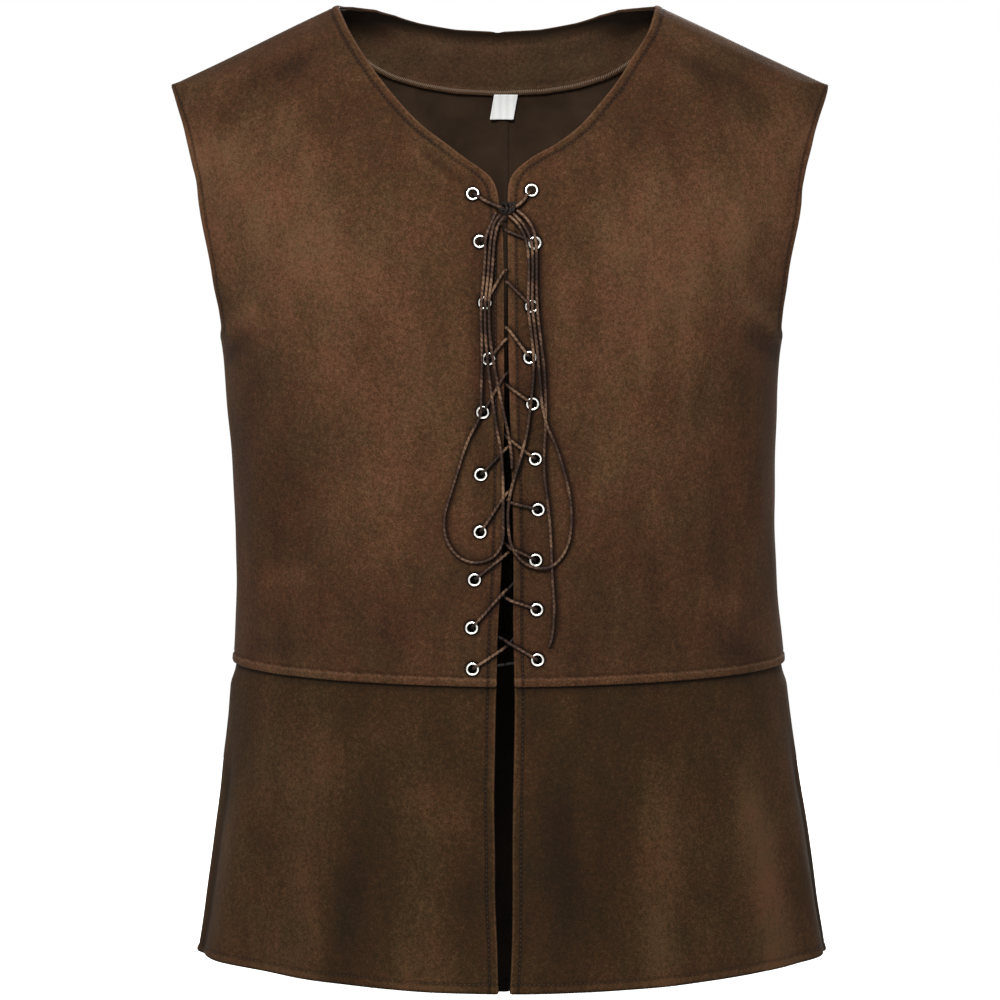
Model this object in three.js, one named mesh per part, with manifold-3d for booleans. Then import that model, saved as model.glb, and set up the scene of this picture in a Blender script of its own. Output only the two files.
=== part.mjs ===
// A lace-up suede vest, filled out and held up as it is when worn.
//
// Millimetres, +Z up, the front faces -Y and the wearer's left is at +X.
// The origin lies midway between the two points where the shoulder seams meet the neckline.
//
// Every cut piece is a wall of cloth laid on one hollow body form. A place on that form is an
// angle, 0 at the centre front, 90 degrees at the side and 180 at the centre back, positive
// towards the wearer's left, and a height z. Folds move the cloth out or in along the normal.

import * as THREE from 'three';
import { mergeVertices } from 'three/addons/utils/BufferGeometryUtils.js';
import Module from 'manifold-3d';

const wasm = await Module();
wasm.setup();

// ---------------------------------------------------------------- driving dimensions

const WALL = 1.6; // suede with its knit backing
const GAP = 0.3; // left between pieces that touch
const NECK_HALF = 116; // origin to the neck point of a shoulder seam
const TIP_HALF = 240; // origin to the shoulder tip
const TIP_Z = -58; // the shoulder tip below the neck point
const UNDERARM_Z = -242;
const WAIST_CENTRE_Z = -484; // lower edge of the bodice, lapped over the skirt
const WAIST_SIDE_Z = -481;
const HEM_CENTRE_Z = -700;
const HEM_SIDE_Z = -701;
const TAIL_DROP = 65; // the skirt's back is cut this much longer at its middle
const TAIL_START = 52; // the extra length lies between these drops below the skirt's top edge
const TAIL_END = 190;
const TAIL_POWER = 1.7; // how closely the extra length keeps to the middle
const LAP = 6.5; // how far the skirt runs up behind the bodice
const LAP_GAP = 0.8; // between the bodice and the skirt behind it
const LAP_RUN_OUT = 17; // below the seam the skirt has come out to the form again
const FRONT_COLUMNS = 10;
const BACK_COLUMNS = 9;
const COLUMN_CROWDING = 1.15;

const FACING_WALL = 1.2;
const FACING_GAP = 1.5;
const FACING_SET_BACK = 1; // from the neckline's edge down to the facing's
const FACING_END = 88.5; // degrees from the centre back, just short of the shoulder seams
const LABEL_WALL = 1;
const LABEL_GAP = 1.6;
const LABEL_WIDTH = 17.8;
const LABEL_HEIGHT = 18;
const LABEL_CENTRE = 4.6; // its top edge is sewn this far off the centre back
const LABEL_SLANT = 3.3; // the lower edge hangs this far to the wearer's right
const LABEL_DROP = 0.8; // from the facing's lower edge to the label's top

const LACE_RADIUS = 1.2;
const LACE_SIDES = 8;

const EYELET = {
  hole: 2.8, // radius of the opening
  barrel: 3.3,
  rim: 4.6,
  washer: 4.4,
  crown: 1.0, // height of the rolled edge above the cloth
  sheet: 0.5,
  clearance: 0.4, // between the cloth and the flanges
  segments: 10,
};
const PUNCH = { radius: 3.85, segments: 8 }; // the hole in the cloth round the barrel

// Depth of the body form in front of and behind the side seams, its sway to one side, and the
// power that shapes its section: 1 is an ellipse, less is flatter in front, more is narrower at
// the sides.
const RINGS = [
  { z: 20, front: 58, back: 66, sway: -2, power: 0.86 },
  { z: 0, front: 64, back: 70, sway: -2, power: 0.86 },
  { z: -20, front: 72, back: 78, sway: -1.5, power: 0.86 },
  { z: -58, front: 88, back: 100, sway: 0, power: 0.86 },
  { z: -90, front: 102, back: 112, sway: 0, power: 0.86 },
  { z: -125, front: 117, back: 119, sway: 0, power: 0.86 },
  { z: -170, front: 127, back: 123, sway: 0, power: 0.86 },
  { z: -242, front: 130, back: 122, sway: 1, power: 0.86 },
  { z: -310, front: 124, back: 117, sway: 2, power: 0.86 },
  { z: -384, front: 117, back: 112, sway: 4, power: 0.88 },
  { z: -430, front: 118, back: 113, sway: 5, power: 0.94 },
  { z: -482, front: 122, back: 116, sway: 6.5, power: 1.06 },
  { z: -560, front: 130, back: 122, sway: 7.7, power: 1.2 },
  { z: -630, front: 136, back: 127, sway: 8.9, power: 1.35 },
  { z: -700, front: 142, back: 132, sway: 8.7, power: 1.5 },
];

// Half the width of the body form below the shoulder tips.
const WIDTHS = [
  { z: TIP_Z, half: TIP_HALF },
  { z: -88, half: 241 },
  { z: -150, half: 237 },
  { z: -200, half: 222 },
  { z: UNDERARM_Z, half: 206.5 },
  { z: -300, half: 202 },
  { z: -362, half: 199.5 },
  { z: -420, half: 200 },
  { z: -482, half: 204.8 },
  { z: -528, half: 210.2 },
  { z: -560, half: 214.4 },
  { z: -630, half: 225 },
  { z: -700, half: 235.4 },
];

// The neckline and the centre front edge of each front, as distances from x = 0 towards that
// front's own side. Below the neckline the two edges run side by side, a little past x = 0.
const FRONT_EDGE = [
  { z: 0, right: 118, left: 114 },
  { z: -2, right: 117.5, left: 113.4 },
  { z: -5, right: 116.2, left: 112.3 },
  { z: -10, right: 113.8, left: 110.7 },
  { z: -22, right: 107.8, left: 106.2 },
  { z: -40, right: 96.5, left: 94.9 },
  { z: -58, right: 83.8, left: 83.6 },
  { z: -75, right: 69.8, left: 69.9 },
  { z: -90, right: 54.8, left: 56.3 },
  { z: -103, right: 37.6, left: 39.5 },
  { z: -113, right: 24.6, left: 22 },
  { z: -122, right: 11.5, left: 11 },
  { z: -129, right: 5, left: 6.9 },
  { z: -136, right: 2.4, left: 6 },
  { z: -150, right: 0.6, left: 5.8 },
  { z: -170, right: -1.8, left: 6 },
  { z: -240, right: -2.3, left: 6.4 },
  { z: -290, right: -2.3, left: 7.5 },
  { z: -330, right: -1.9, left: 8.8 },
  { z: -370, right: -1.2, left: 9.8 },
  { z: -408, right: 0, left: 10.2 },
  { z: -443, right: 2, left: 10 },
  { z: -492, right: 3.4, left: 11 },
  { z: -530, right: 4.1, left: 10.5 },
  { z: -565, right: 4.7, left: 9.8 },
  { z: -600, right: 4.2, left: 9.4 },
  { z: -635, right: 4, left: 9.5 },
  { z: -668, right: 2.6, left: 9 },
  { z: -700, right: 1.8, left: 7.6 },
];

// The armhole's edge, in degrees from the centre front and from the centre back.
const ARMHOLE = [
  { z: TIP_Z, front: 90, back: 90 },
  { z: -61, front: 84, back: 85 },
  { z: -69, front: 78.5, back: 80.5 },
  { z: -87, front: 72, back: 75 },
  { z: -106, front: 68.2, back: 72 },
  { z: -124, front: 66, back: 70.2 },
  { z: -142, front: 65.2, back: 69.4 },
  { z: -160, front: 65.2, back: 69.2 },
  { z: -178, front: 66.2, back: 69.8 },
  { z: -195, front: 68, back: 71 },
  { z: -213, front: 71, back: 73.2 },
  { z: -226, front: 74.5, back: 76.4 },
  { z: -236, front: 79.5, back: 81 },
  { z: UNDERARM_Z, front: 90, back: 90 },
];

// Rows of a front from the shoulder seam down: heights on its inner and its outer edge.
const FRONT_ROWS = [
  { inner: 0, outer: TIP_Z },
  { inner: -2, outer: -59.5 },
  { inner: -5, outer: -61.5 },
  { inner: -10, outer: -65 },
  { inner: -18, outer: -70 },
  { inner: -30, outer: -78 },
  { inner: -44, outer: -88 },
  { inner: -60, outer: -100 },
  { inner: -76, outer: -112 },
  { inner: -90, outer: -124 },
  { inner: -102, outer: -136 },
  { inner: -113, outer: -147 },
  { inner: -122, outer: -156 },
  { inner: -130, outer: -164 },
  { inner: -138, outer: -172 },
  { inner: -152, outer: -185 },
  { inner: -168, outer: -198 },
  { inner: -186, outer: -211 },
  { inner: -204, outer: -223 },
  { inner: -222, outer: -234 },
  { inner: -238, outer: UNDERARM_Z },
  { inner: -266, outer: -268 },
  { inner: -296, outer: -296 },
  { inner: -328, outer: -326 },
  { inner: -360, outer: -358 },
  { inner: -392, outer: -390 },
  { inner: -424, outer: -422 },
  { inner: -454, outer: -451 },
  { inner: WAIST_CENTRE_Z, outer: WAIST_SIDE_Z },
];

// Rows of a back from the shoulder seam down: the inner edge is the neckline, at an angle from
// the centre back, and then the centre back seam.
const BACK_ROWS = [
  { neck: 90, inner: 0, outer: TIP_Z },
  { neck: 71, inner: 1.2, outer: -60 },
  { neck: 53, inner: 0.7, outer: -64 },
  { neck: 39, inner: -3, outer: -70 },
  { neck: 26, inner: -8.4, outer: -79 },
  { neck: 13, inner: -12.6, outer: -91 },
  { neck: 0, inner: -14.3, outer: -105 },
  { neck: 0, inner: -36, outer: -122 },
  { neck: 0, inner: -60, outer: -139 },
  { neck: 0, inner: -86, outer: -156 },
  { neck: 0, inner: -112, outer: -172 },
  { neck: 0, inner: -138, outer: -188 },
  { neck: 0, inner: -164, outer: -204 },
  { neck: 0, inner: -190, outer: -219 },
  { neck: 0, inner: -214, outer: -232 },
  { neck: 0, inner: -238, outer: UNDERARM_Z },
  { neck: 0, inner: -264, outer: -264 },
  { neck: 0, inner: -293, outer: -292 },
  { neck: 0, inner: -324, outer: -322 },
  { neck: 0, inner: -356, outer: -354 },
  { neck: 0, inner: -388, outer: -386 },
  { neck: 0, inner: -420, outer: -418 },
  { neck: 0, inner: -452, outer: -450 },
  { neck: 0, inner: WAIST_CENTRE_Z, outer: WAIST_SIDE_Z },
];

// The facing inside the back neck: its lower edge at angles from the centre back.
const FACING_LOWER = [
  { neck: 0, z: -59.5 },
  { neck: 8, z: -57.8 },
  { neck: 15, z: -53.4 },
  { neck: 22, z: -47 },
  { neck: 29, z: -39 },
  { neck: 38, z: -28.5 },
  { neck: 50, z: -19 },
  { neck: 66, z: -14 },
  { neck: 90, z: -13 },
];

// Soft folds: from one place to another, how wide across and how far out (or in, if negative).
const FOLDS = [
  { from: 50, fromZ: -262, to: 54, toZ: -430, width: 20, height: -3 },
  { from: 63, fromZ: -250, to: 66, toZ: -400, width: 18, height: 2.5 },
  { from: -33, fromZ: -300, to: -57, toZ: -425, width: 18, height: -3 },
  { from: -45, fromZ: -262, to: -70, toZ: -390, width: 18, height: 2.4 },
  { from: -70, fromZ: -235, to: -48, toZ: -180, width: 14, height: -2 },
  { from: 70, fromZ: -235, to: 47, toZ: -175, width: 14, height: -2.2 },
  { from: -62, fromZ: -560, to: -66, toZ: -710, width: 20, height: 4 },
  { from: -46, fromZ: -590, to: -50, toZ: -710, width: 20, height: -3 },
  { from: 68, fromZ: -550, to: 72, toZ: -710, width: 20, height: 4 },
  { from: 18, fromZ: -545, to: 40, toZ: -690, width: 24, height: -2.6 },
  { from: 110, fromZ: -300, to: 118, toZ: -470, width: 22, height: -4 },
  { from: -112, fromZ: -290, to: -120, toZ: -465, width: 22, height: -3.6 },
  { from: 142, fromZ: -330, to: 136, toZ: -480, width: 18, height: 3 },
  { from: -146, fromZ: -345, to: -138, toZ: -490, width: 18, height: 3.2 },
  { from: 128, fromZ: -110, to: 120, toZ: -215, width: 18, height: -2.6 },
  { from: -126, fromZ: -105, to: -118, toZ: -205, width: 18, height: -2.4 },
  { from: 112, fromZ: -540, to: 110, toZ: -735, width: 24, height: 5 },
  { from: 150, fromZ: -560, to: 152, toZ: -775, width: 26, height: 4.4 },
  { from: -158, fromZ: -550, to: -160, toZ: -780, width: 25, height: 5 },
  { from: -118, fromZ: -565, to: -116, toZ: -745, width: 24, height: 4 },
  { from: 131, fromZ: -560, to: 131, toZ: -765, width: 20, height: -4 },
];
const FOLD_RADIUS = 165; // turns an angle between two places into a distance
const FOLD_RUN_OUT = 0.25; // share of a fold's length over which it rises or dies away
const FOLD_RUN_OUT_AT_HEM = 0.025;

// Stations of the lace through an eyelet: how far from its centre, and the lift above the cloth.
const EYELET_APPROACH = [
  { distance: 8, lift: -4.4 },
  { distance: 3.6, lift: -4.6 },
  { distance: 1, lift: -3.1 },
];
const EYELET_CENTRE_LIFT = -0.8;
const EYELET_DEPARTURE = [
  { distance: 0.5, lift: 1.6 },
  { distance: 2.7, lift: 3 },
  { distance: 6.2, lift: 2.3 },
];

// Stations of the lace as it dives in between the two fronts.
const DIVE = [
  { across: -1.6, rise: -1, lift: 2.1 },
  { across: -0.3, rise: 0, lift: 0.3 },
  { across: 0.3, rise: 0, lift: -1.9 },
  { across: 1.6, rise: 1, lift: -3.8 },
];
const BAR_LIFT = -4.4; // of the lace's middle, behind the lowest pair of eyelets

// Eyelets in pairs from the top: x and z on the two fronts.
const EYELETS = [
  { rightX: -19, rightZ: -138, leftX: 22, leftZ: -135.5 },
  { rightX: -14, rightZ: -171, leftX: 24.2, leftZ: -172 },
  { rightX: -10.5, rightZ: -213.5, leftX: 22, leftZ: -216 },
  { rightX: -8, rightZ: -252.5, leftX: 20.8, leftZ: -251.5 },
  { rightX: -12, rightZ: -290, leftX: 22.8, leftZ: -284 },
  { rightX: -13.5, rightZ: -334, leftX: 24.8, leftZ: -323 },
  { rightX: -14, rightZ: -375, leftX: 26.8, leftZ: -359 },
  { rightX: -18, rightZ: -409, leftX: 25.2, leftZ: -395 },
  { rightX: -20, rightZ: -443, leftX: 25.9, leftZ: -430 },
  { rightX: -19.4, rightZ: -472, leftX: 26.5, leftZ: -465.5 },
];

// Where the strands from each pair of eyelets but the first go in between the two fronts.
const CROSSINGS = [
  { fromRight: -157, fromLeft: -163 },
  { fromRight: -191, fromLeft: -199 },
  { fromRight: -239, fromLeft: -231 },
  { fromRight: -263, fromLeft: -271 },
  { fromRight: -315, fromLeft: -308 },
  { fromRight: -347, fromLeft: -352.5 },
  { fromRight: -390, fromLeft: -385 },
  { fromRight: -416, fromLeft: -422 },
  { fromRight: -456.5, fromLeft: -452 },
];

const KNOT = { x: 4.5, z: -148.6, lift: 5.2, halfWidth: 6.4, halfHeight: 3.4, halfDepth: 3.2 };
const KNOT_ENTRY = { beside: 1.1, above: 1.6, lift: 4.6, bow: 1, bowLift: 3.4 };

// The bow's loops and the lace's ends, each a route of places x, z and lift above the cloth.
const LOOP_RIGHT = [
  [0.2, -153.4, 5.4], [-3.9, -159, 5.6], [-6.3, -169, 5.6], [-7.3, -180, 5.4], [-8.3, -195, 5],
  [-10, -212, 5.4], [-10.1, -232, 5], [-9, -247, 5.4], [-7.9, -260, 5.2], [-5.6, -279, 4.8],
  [-2.5, -299, 4.6], [0.6, -317, 4.8], [2, -335, 4.4], [2.2, -352, 4.6], [2.2, -367, 4.2],
  [2, -379, 3.8], [-0.6, -387.5, 3], [-5.4, -393, 2.2], [-12, -396, 1.8], [-20, -396.5, 1.6],
  [-28.5, -393, 1.6], [-35.5, -385, 1.6], [-39, -374, 1.6], [-38.6, -362, 1.6], [-35, -349, 1.6],
  [-31, -336, 1.6], [-26.4, -321, 1.6], [-21.6, -308, 2.2], [-16.6, -298, 4.2], [-13.4, -290, 5.4],
  [-13, -281, 4.8], [-12.8, -267, 3.6], [-12.4, -254, 4.4], [-12.6, -240, 4], [-13, -226, 4],
  [-12.8, -212, 4.8], [-11.2, -196, 4.8], [-10.3, -181, 5.6], [-9.6, -168.5, 5.9], [-2.9, -151.8, 5.2],
];
const LOOP_LEFT = [
  [6.2, -154, 5.4], [11.4, -158.6, 5.4], [16, -166, 5.4], [18.8, -175, 5.4], [19.8, -190, 5],
  [19.5, -205, 5.2], [19.4, -218, 5.6], [21.2, -233, 5], [23.1, -250, 4.4], [22.7, -268, 4.2],
  [21, -284, 5.4], [18.6, -303, 4.8], [15.4, -317, 4.6], [11.6, -330, 4.4], [8.2, -342, 4.4],
  [6, -354, 4.8], [5.6, -366, 4.2], [7.4, -382, 4.9], [11.6, -391, 4.8], [18.4, -397.6, 3.4],
  [27.5, -400.6, 3.6], [36, -399, 4.5], [43.2, -392.5, 3.2], [48, -383, 1.8], [50, -370, 1.6],
  [49.6, -356, 1.6], [47.4, -342, 1.6], [43.6, -328, 1.7], [38.6, -313, 3], [33, -300, 4.7],
  [29.4, -286, 4.7], [27.4, -266, 4.4], [25.9, -248, 4.6], [24, -232, 4.8], [22.3, -216, 5.6],
  [22.3, -200, 5], [22.5, -186, 5.6], [21.4, -172, 6], [16.6, -161, 5.8], [9.2, -152.6, 5.6],
];
const END_RIGHT = [
  [3.2, -154.4, 5.2], [-0.9, -159.6, 5.4], [-3.5, -169, 5.4], [-4.6, -180, 5.2], [-5.6, -194, 5],
  [-7.3, -211, 5.7], [-7.4, -228, 5], [-6.2, -243, 5.3], [-4, -257, 5.4], [-1.2, -272, 4.7],
  [2, -287, 4.5], [5, -301, 4.5], [7.2, -314, 4.4], [8, -322, 4.1], [8.2, -329, 3.8],
];
const END_LEFT = [
  [11.7, -150.4, 5.2], [17.6, -155.4, 5.4], [22.3, -162.5, 5.4], [24.5, -171, 5.6], [25.1, -183, 5],
  [25.2, -198, 4.6], [25.4, -213, 4.8], [26.8, -229, 4.6], [28.8, -245, 4.4], [30.6, -260, 3.6],
  [31.4, -274, 2.4], [31.8, -288, 1.6], [31.6, -302, 1.6], [31, -314, 1.6], [30.8, -326, 1.6],
  [31.4, -338, 1.6], [33.2, -352, 1.6], [34.8, -368, 1.6], [35.8, -384, 1.6], [36.4, -400, 1.6],
  [37.2, -414, 1.6], [38, -427, 1.6], [37.6, -440, 1.6], [36.2, -451, 1.6], [34.2, -456.5, 1.6],
];

// ---------------------------------------------------------------- the body form

const degrees = THREE.MathUtils.degToRad;

// A smooth curve through one column of a table whose rows go down in z.
function track(rows, column, z) {
  const last = rows.length - 1;
  const slope = (i, j) => (rows[j][column] - rows[i][column]) / (rows[j].z - rows[i].z);
  if (z >= rows[0].z) return rows[0][column] + slope(0, 1) * (z - rows[0].z);
  if (z <= rows[last].z) return rows[last][column] + slope(last - 1, last) * (z - rows[last].z);
  const i = rows.findIndex((row) => row.z < z) - 1;
  const span = rows[i + 1].z - rows[i].z;
  const t = (z - rows[i].z) / span;
  const startSlope = slope(Math.max(i - 1, 0), i + 1) * span;
  const endSlope = slope(i, Math.min(i + 2, last)) * span;
  const t2 = t * t;
  const t3 = t2 * t;
  return rows[i][column] * (2 * t3 - 3 * t2 + 1) + startSlope * (t3 - 2 * t2 + t)
    + rows[i + 1][column] * (3 * t2 - 2 * t3) + endSlope * (t3 - t2);
}

// Above the tips the side of the form is the straight slope of the shoulder seam.
function halfWidth(z) {
  if (z < TIP_Z) return track(WIDTHS, 'half', z);
  return NECK_HALF + (TIP_HALF - NECK_HALF) * (z / TIP_Z);
}

function formPoint(angle, z) {
  const cosine = Math.cos(angle);
  const depth = cosine >= 0 ? track(RINGS, 'front', z) : track(RINGS, 'back', z);
  const x = track(RINGS, 'sway', z) + halfWidth(z) * Math.sin(angle);
  const y = -Math.sign(cosine) * depth * Math.abs(cosine) ** track(RINGS, 'power', z);
  return new THREE.Vector3(x, y, z);
}

function formNormal(angle, z) {
  const turn = 0.02;
  const rise = 2;
  const across = formPoint(angle + turn, z).sub(formPoint(angle - turn, z));
  const upward = formPoint(angle, z + rise).sub(formPoint(angle, z - rise));
  return across.cross(upward).normalize();
}

// How far the folds move the cloth out at a place.
function foldLift(angle, z) {
  const turn = THREE.MathUtils.euclideanModulo(angle + Math.PI, 2 * Math.PI) - Math.PI;
  let lift = 0;
  for (const fold of FOLDS) {
    const start = new THREE.Vector2(degrees(fold.from) * FOLD_RADIUS, fold.fromZ);
    const end = new THREE.Vector2(degrees(fold.to) * FOLD_RADIUS, fold.toZ);
    const run = end.clone().sub(start);
    const offset = new THREE.Vector2(turn * FOLD_RADIUS, z).sub(start);
    const along = offset.dot(run) / run.lengthSq();
    if (along <= 0 || along >= 1) continue;
    const aside = Math.abs(offset.cross(run)) / run.length();
    const runOut = fold.toZ < HEM_CENTRE_Z ? FOLD_RUN_OUT_AT_HEM : FOLD_RUN_OUT;
    const fade = Math.min(1, along / FOLD_RUN_OUT) * Math.min(1, (1 - along) / runOut);
    lift += fold.height * fade * Math.exp(-((aside / fold.width) ** 2));
  }
  return lift;
}

function clothPoint(angle, z, lift = 0) {
  return formPoint(angle, z).addScaledVector(formNormal(angle, z), foldLift(angle, z) + lift);
}

// The angle at which the front has a given x.
function angleAt(x, z) {
  const sine = (x - track(RINGS, 'sway', z)) / halfWidth(z);
  return Math.asin(THREE.MathUtils.clamp(sine, -1, 1));
}

function frontPoint(x, z, lift) {
  return clothPoint(angleAt(x, z), z, lift);
}

// ---------------------------------------------------------------- closed walls and tubes

// A closed wall from rows of places { angle, z, lift, shift }, with its inner face the wall's
// thickness behind the outer one. The shift keeps an edge clear of the piece across the seam.
function wallGeometry(rows, thickness) {
  const height = rows.length;
  const width = rows[0].length;
  const positions = [];
  for (const depth of [0, -thickness]) {
    for (const row of rows) {
      for (const place of row) {
        const point = clothPoint(place.angle, place.z, (place.lift ?? 0) + depth);
        point.add(place.shift ?? new THREE.Vector3());
        positions.push(point.x, point.y, point.z);
      }
    }
  }
  const outer = (i, j) => i * width + j;
  const inner = (i, j) => height * width + i * width + j;
  const triangles = [];
  const quad = (a, b, c, d) => triangles.push(a, b, c, a, c, d);
  for (let i = 0; i < height - 1; i += 1) {
    for (let j = 0; j < width - 1; j += 1) {
      quad(outer(i, j), outer(i + 1, j), outer(i + 1, j + 1), outer(i, j + 1));
      quad(inner(i, j), inner(i, j + 1), inner(i + 1, j + 1), inner(i + 1, j));
    }
  }
  for (let i = 0; i < height - 1; i += 1) {
    quad(outer(i, 0), inner(i, 0), inner(i + 1, 0), outer(i + 1, 0));
    quad(outer(i, width - 1), outer(i + 1, width - 1), inner(i + 1, width - 1), inner(i, width - 1));
  }
  for (let j = 0; j < width - 1; j += 1) {
    quad(outer(0, j), outer(0, j + 1), inner(0, j + 1), inner(0, j));
    quad(outer(height - 1, j), inner(height - 1, j), inner(height - 1, j + 1), outer(height - 1, j + 1));
  }
  const geometry = new THREE.BufferGeometry();
  geometry.setAttribute('position', new THREE.Float32BufferAttribute(positions, 3));
  geometry.setIndex(triangles);
  return signedVolume(geometry) > 0 ? geometry : flipped(geometry);
}

function signedVolume(geometry) {
  const position = geometry.getAttribute('position');
  const index = geometry.getIndex();
  const corners = [new THREE.Vector3(), new THREE.Vector3(), new THREE.Vector3()];
  let volume = 0;
  for (let i = 0; i < index.count; i += 3) {
    corners.forEach((corner, k) => corner.fromBufferAttribute(position, index.getX(i + k)));
    volume += corners[0].dot(corners[1].clone().cross(corners[2])) / 6;
  }
  return volume;
}

function flipped(geometry) {
  const index = Array.from(geometry.getIndex().array);
  for (let i = 0; i < index.length; i += 3) {
    [index[i + 1], index[i + 2]] = [index[i + 2], index[i + 1]];
  }
  geometry.setIndex(index);
  return geometry;
}

// Leaves only positions, with the vertices that share a place joined.
function welded(geometry) {
  const bare = geometry.clone();
  bare.deleteAttribute('normal');
  bare.deleteAttribute('uv');
  return mergeVertices(bare, 1e-4);
}

function toSolid(geometry) {
  const shape = welded(geometry);
  return new wasm.Manifold(new wasm.Mesh({
    numProp: 3,
    vertProperties: new Float32Array(shape.getAttribute('position').array),
    triVerts: new Uint32Array(shape.getIndex().array),
  }));
}

function fromSolid(solid) {
  const mesh = solid.getMesh();
  const geometry = new THREE.BufferGeometry();
  geometry.setAttribute('position', new THREE.BufferAttribute(mesh.vertProperties, 3));
  geometry.setIndex(new THREE.BufferAttribute(mesh.triVerts, 1));
  return geometry;
}

// A curve that has one section at each of its points, so bends can have more than straights.
class SectionedCurve extends THREE.Curve {
  constructor(points) {
    super();
    this.points = points;
  }

  getPoint(t) {
    const last = this.points.length - 1;
    const place = t * last;
    const i = Math.min(Math.floor(place), last - 1);
    const at = (k) => this.points[THREE.MathUtils.clamp(k, 0, last)];
    const [a, b, c, d] = [at(i - 1), at(i), at(i + 1), at(i + 2)];
    const u = place - i;
    const blend = (axis) => 0.5 * (2 * b[axis] + (c[axis] - a[axis]) * u
      + (2 * a[axis] - 5 * b[axis] + 4 * c[axis] - d[axis]) * u * u
      + (3 * b[axis] - a[axis] - 3 * c[axis] + d[axis]) * u * u * u);
    return new THREE.Vector3(blend('x'), blend('y'), blend('z'));
  }

  getPointAt(u) {
    return this.getPoint(u);
  }

  getTangentAt(u) {
    return this.getTangent(u);
  }
}

function tubeGeometry(path, steps) {
  const section = new THREE.Shape();
  for (let i = 0; i < LACE_SIDES; i += 1) {
    const turn = (2 * Math.PI * i) / LACE_SIDES;
    const x = LACE_RADIUS * Math.cos(turn);
    const y = LACE_RADIUS * Math.sin(turn);
    if (i === 0) section.moveTo(x, y);
    else section.lineTo(x, y);
  }
  return welded(new THREE.ExtrudeGeometry(section, { steps, bevelEnabled: false, extrudePath: path }));
}

// ---------------------------------------------------------------- materials

const material = (color, roughness, metalness = 0) => new THREE.MeshStandardMaterial({
  color, roughness, metalness,
});
const suede = material('#5b402e', 0.95);
const facingSuede = material('#463526', 0.95);
const labelRibbon = material('#f2f2ee', 0.7);
const nickel = material('#d6d6d2', 0.25, 1);
const laceCord = material('#6a4c3c', 0.85);

// ---------------------------------------------------------------- cut pieces

const SIDES = [
  { name: 'right', sign: -1 },
  { name: 'left', sign: 1 },
];

// Shares of the way from a panel's inner edge to its outer one, closer together at the first.
const columnShares = (columns) => Array.from(
  { length: columns + 1 },
  (_, j) => (j / columns) ** COLUMN_CROWDING,
);

// Places between an inner and an outer edge.
function rowBetween(inner, outer, columns) {
  const row = columnShares(columns).map((share) => ({
    angle: THREE.MathUtils.lerp(inner.angle, outer.angle, share),
    z: THREE.MathUtils.lerp(inner.z, outer.z, share),
  }));
  row[0].shift = inner.shift;
  row[columns].shift = outer.shift;
  return row;
}

// Half the seam gap, away from the side seam or the centre back seam.
const clearOfSide = (towardsFront) => new THREE.Vector3(0, (towardsFront ? -GAP : GAP) / 2, 0);
const clearOfCentre = (sign) => new THREE.Vector3((sign * GAP) / 2, 0, 0);

const frontEdge = (side, z) => ({
  angle: angleAt(side.sign * track(FRONT_EDGE, side.name, z), z),
  z,
});
const sideSeam = (side, z, towardsFront) => ({
  angle: degrees(90) * side.sign,
  z,
  shift: clearOfSide(towardsFront),
});

function frontPanel(side) {
  const rows = FRONT_ROWS.map((row) => {
    const inner = row.inner === 0 ? sideSeam(side, 0, true) : frontEdge(side, row.inner);
    const open = row.outer < TIP_Z && row.outer > UNDERARM_Z;
    const outer = open
      ? { angle: degrees(track(ARMHOLE, 'front', row.outer)) * side.sign, z: row.outer }
      : sideSeam(side, row.outer, true);
    return rowBetween(inner, outer, FRONT_COLUMNS);
  });
  rows[0].forEach((place) => {
    place.shift = clearOfSide(true);
  });
  return wallGeometry(rows, WALL);
}

function backPanel(side) {
  const fromCentre = (angle) => degrees(180 - angle) * side.sign;
  const rows = BACK_ROWS.map((row) => {
    const inner = { angle: fromCentre(row.neck), z: row.inner };
    if (row.neck === 0) inner.shift = clearOfCentre(side.sign);
    const open = row.outer < TIP_Z && row.outer > UNDERARM_Z;
    const outer = open
      ? { angle: fromCentre(track(ARMHOLE, 'back', row.outer)), z: row.outer }
      : sideSeam(side, row.outer, false);
    return rowBetween(inner, outer, BACK_COLUMNS);
  });
  rows[0].forEach((place) => {
    place.shift = clearOfSide(false);
  });
  return wallGeometry(rows, WALL);
}

// The skirt hangs from inside the bodice's lower edge and comes out to the form below it.
function skirtLift(drop) {
  const inset = WALL + LAP_GAP;
  const out = THREE.MathUtils.smoothstep(drop, LAP + 4, LAP + LAP_RUN_OUT);
  return -inset * (1 - out);
}

const SKIRT_DROPS = [0, 7, 18, 34, 56, 82, 110, 140, 170, 196, 218];
const SKIRT_LENGTH = SKIRT_DROPS[SKIRT_DROPS.length - 1];

// A skirt row at a drop below the top edge; level tells how far round towards the centre it is.
function skirtHeight(drop, level) {
  const top = THREE.MathUtils.lerp(WAIST_SIDE_Z, WAIST_CENTRE_Z, level) + LAP;
  const hem = THREE.MathUtils.lerp(HEM_SIDE_Z, HEM_CENTRE_Z, level);
  return THREE.MathUtils.lerp(top, hem, drop / SKIRT_LENGTH);
}

function skirtPlace(angle, drop) {
  const middle = Math.max(0, -Math.cos(angle)) ** TAIL_POWER;
  const tail = THREE.MathUtils.smoothstep(drop, TAIL_START, TAIL_END) * middle;
  const z = skirtHeight(drop, Math.abs(Math.cos(angle))) - TAIL_DROP * tail;
  return { angle, z, lift: skirtLift(drop) };
}

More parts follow.
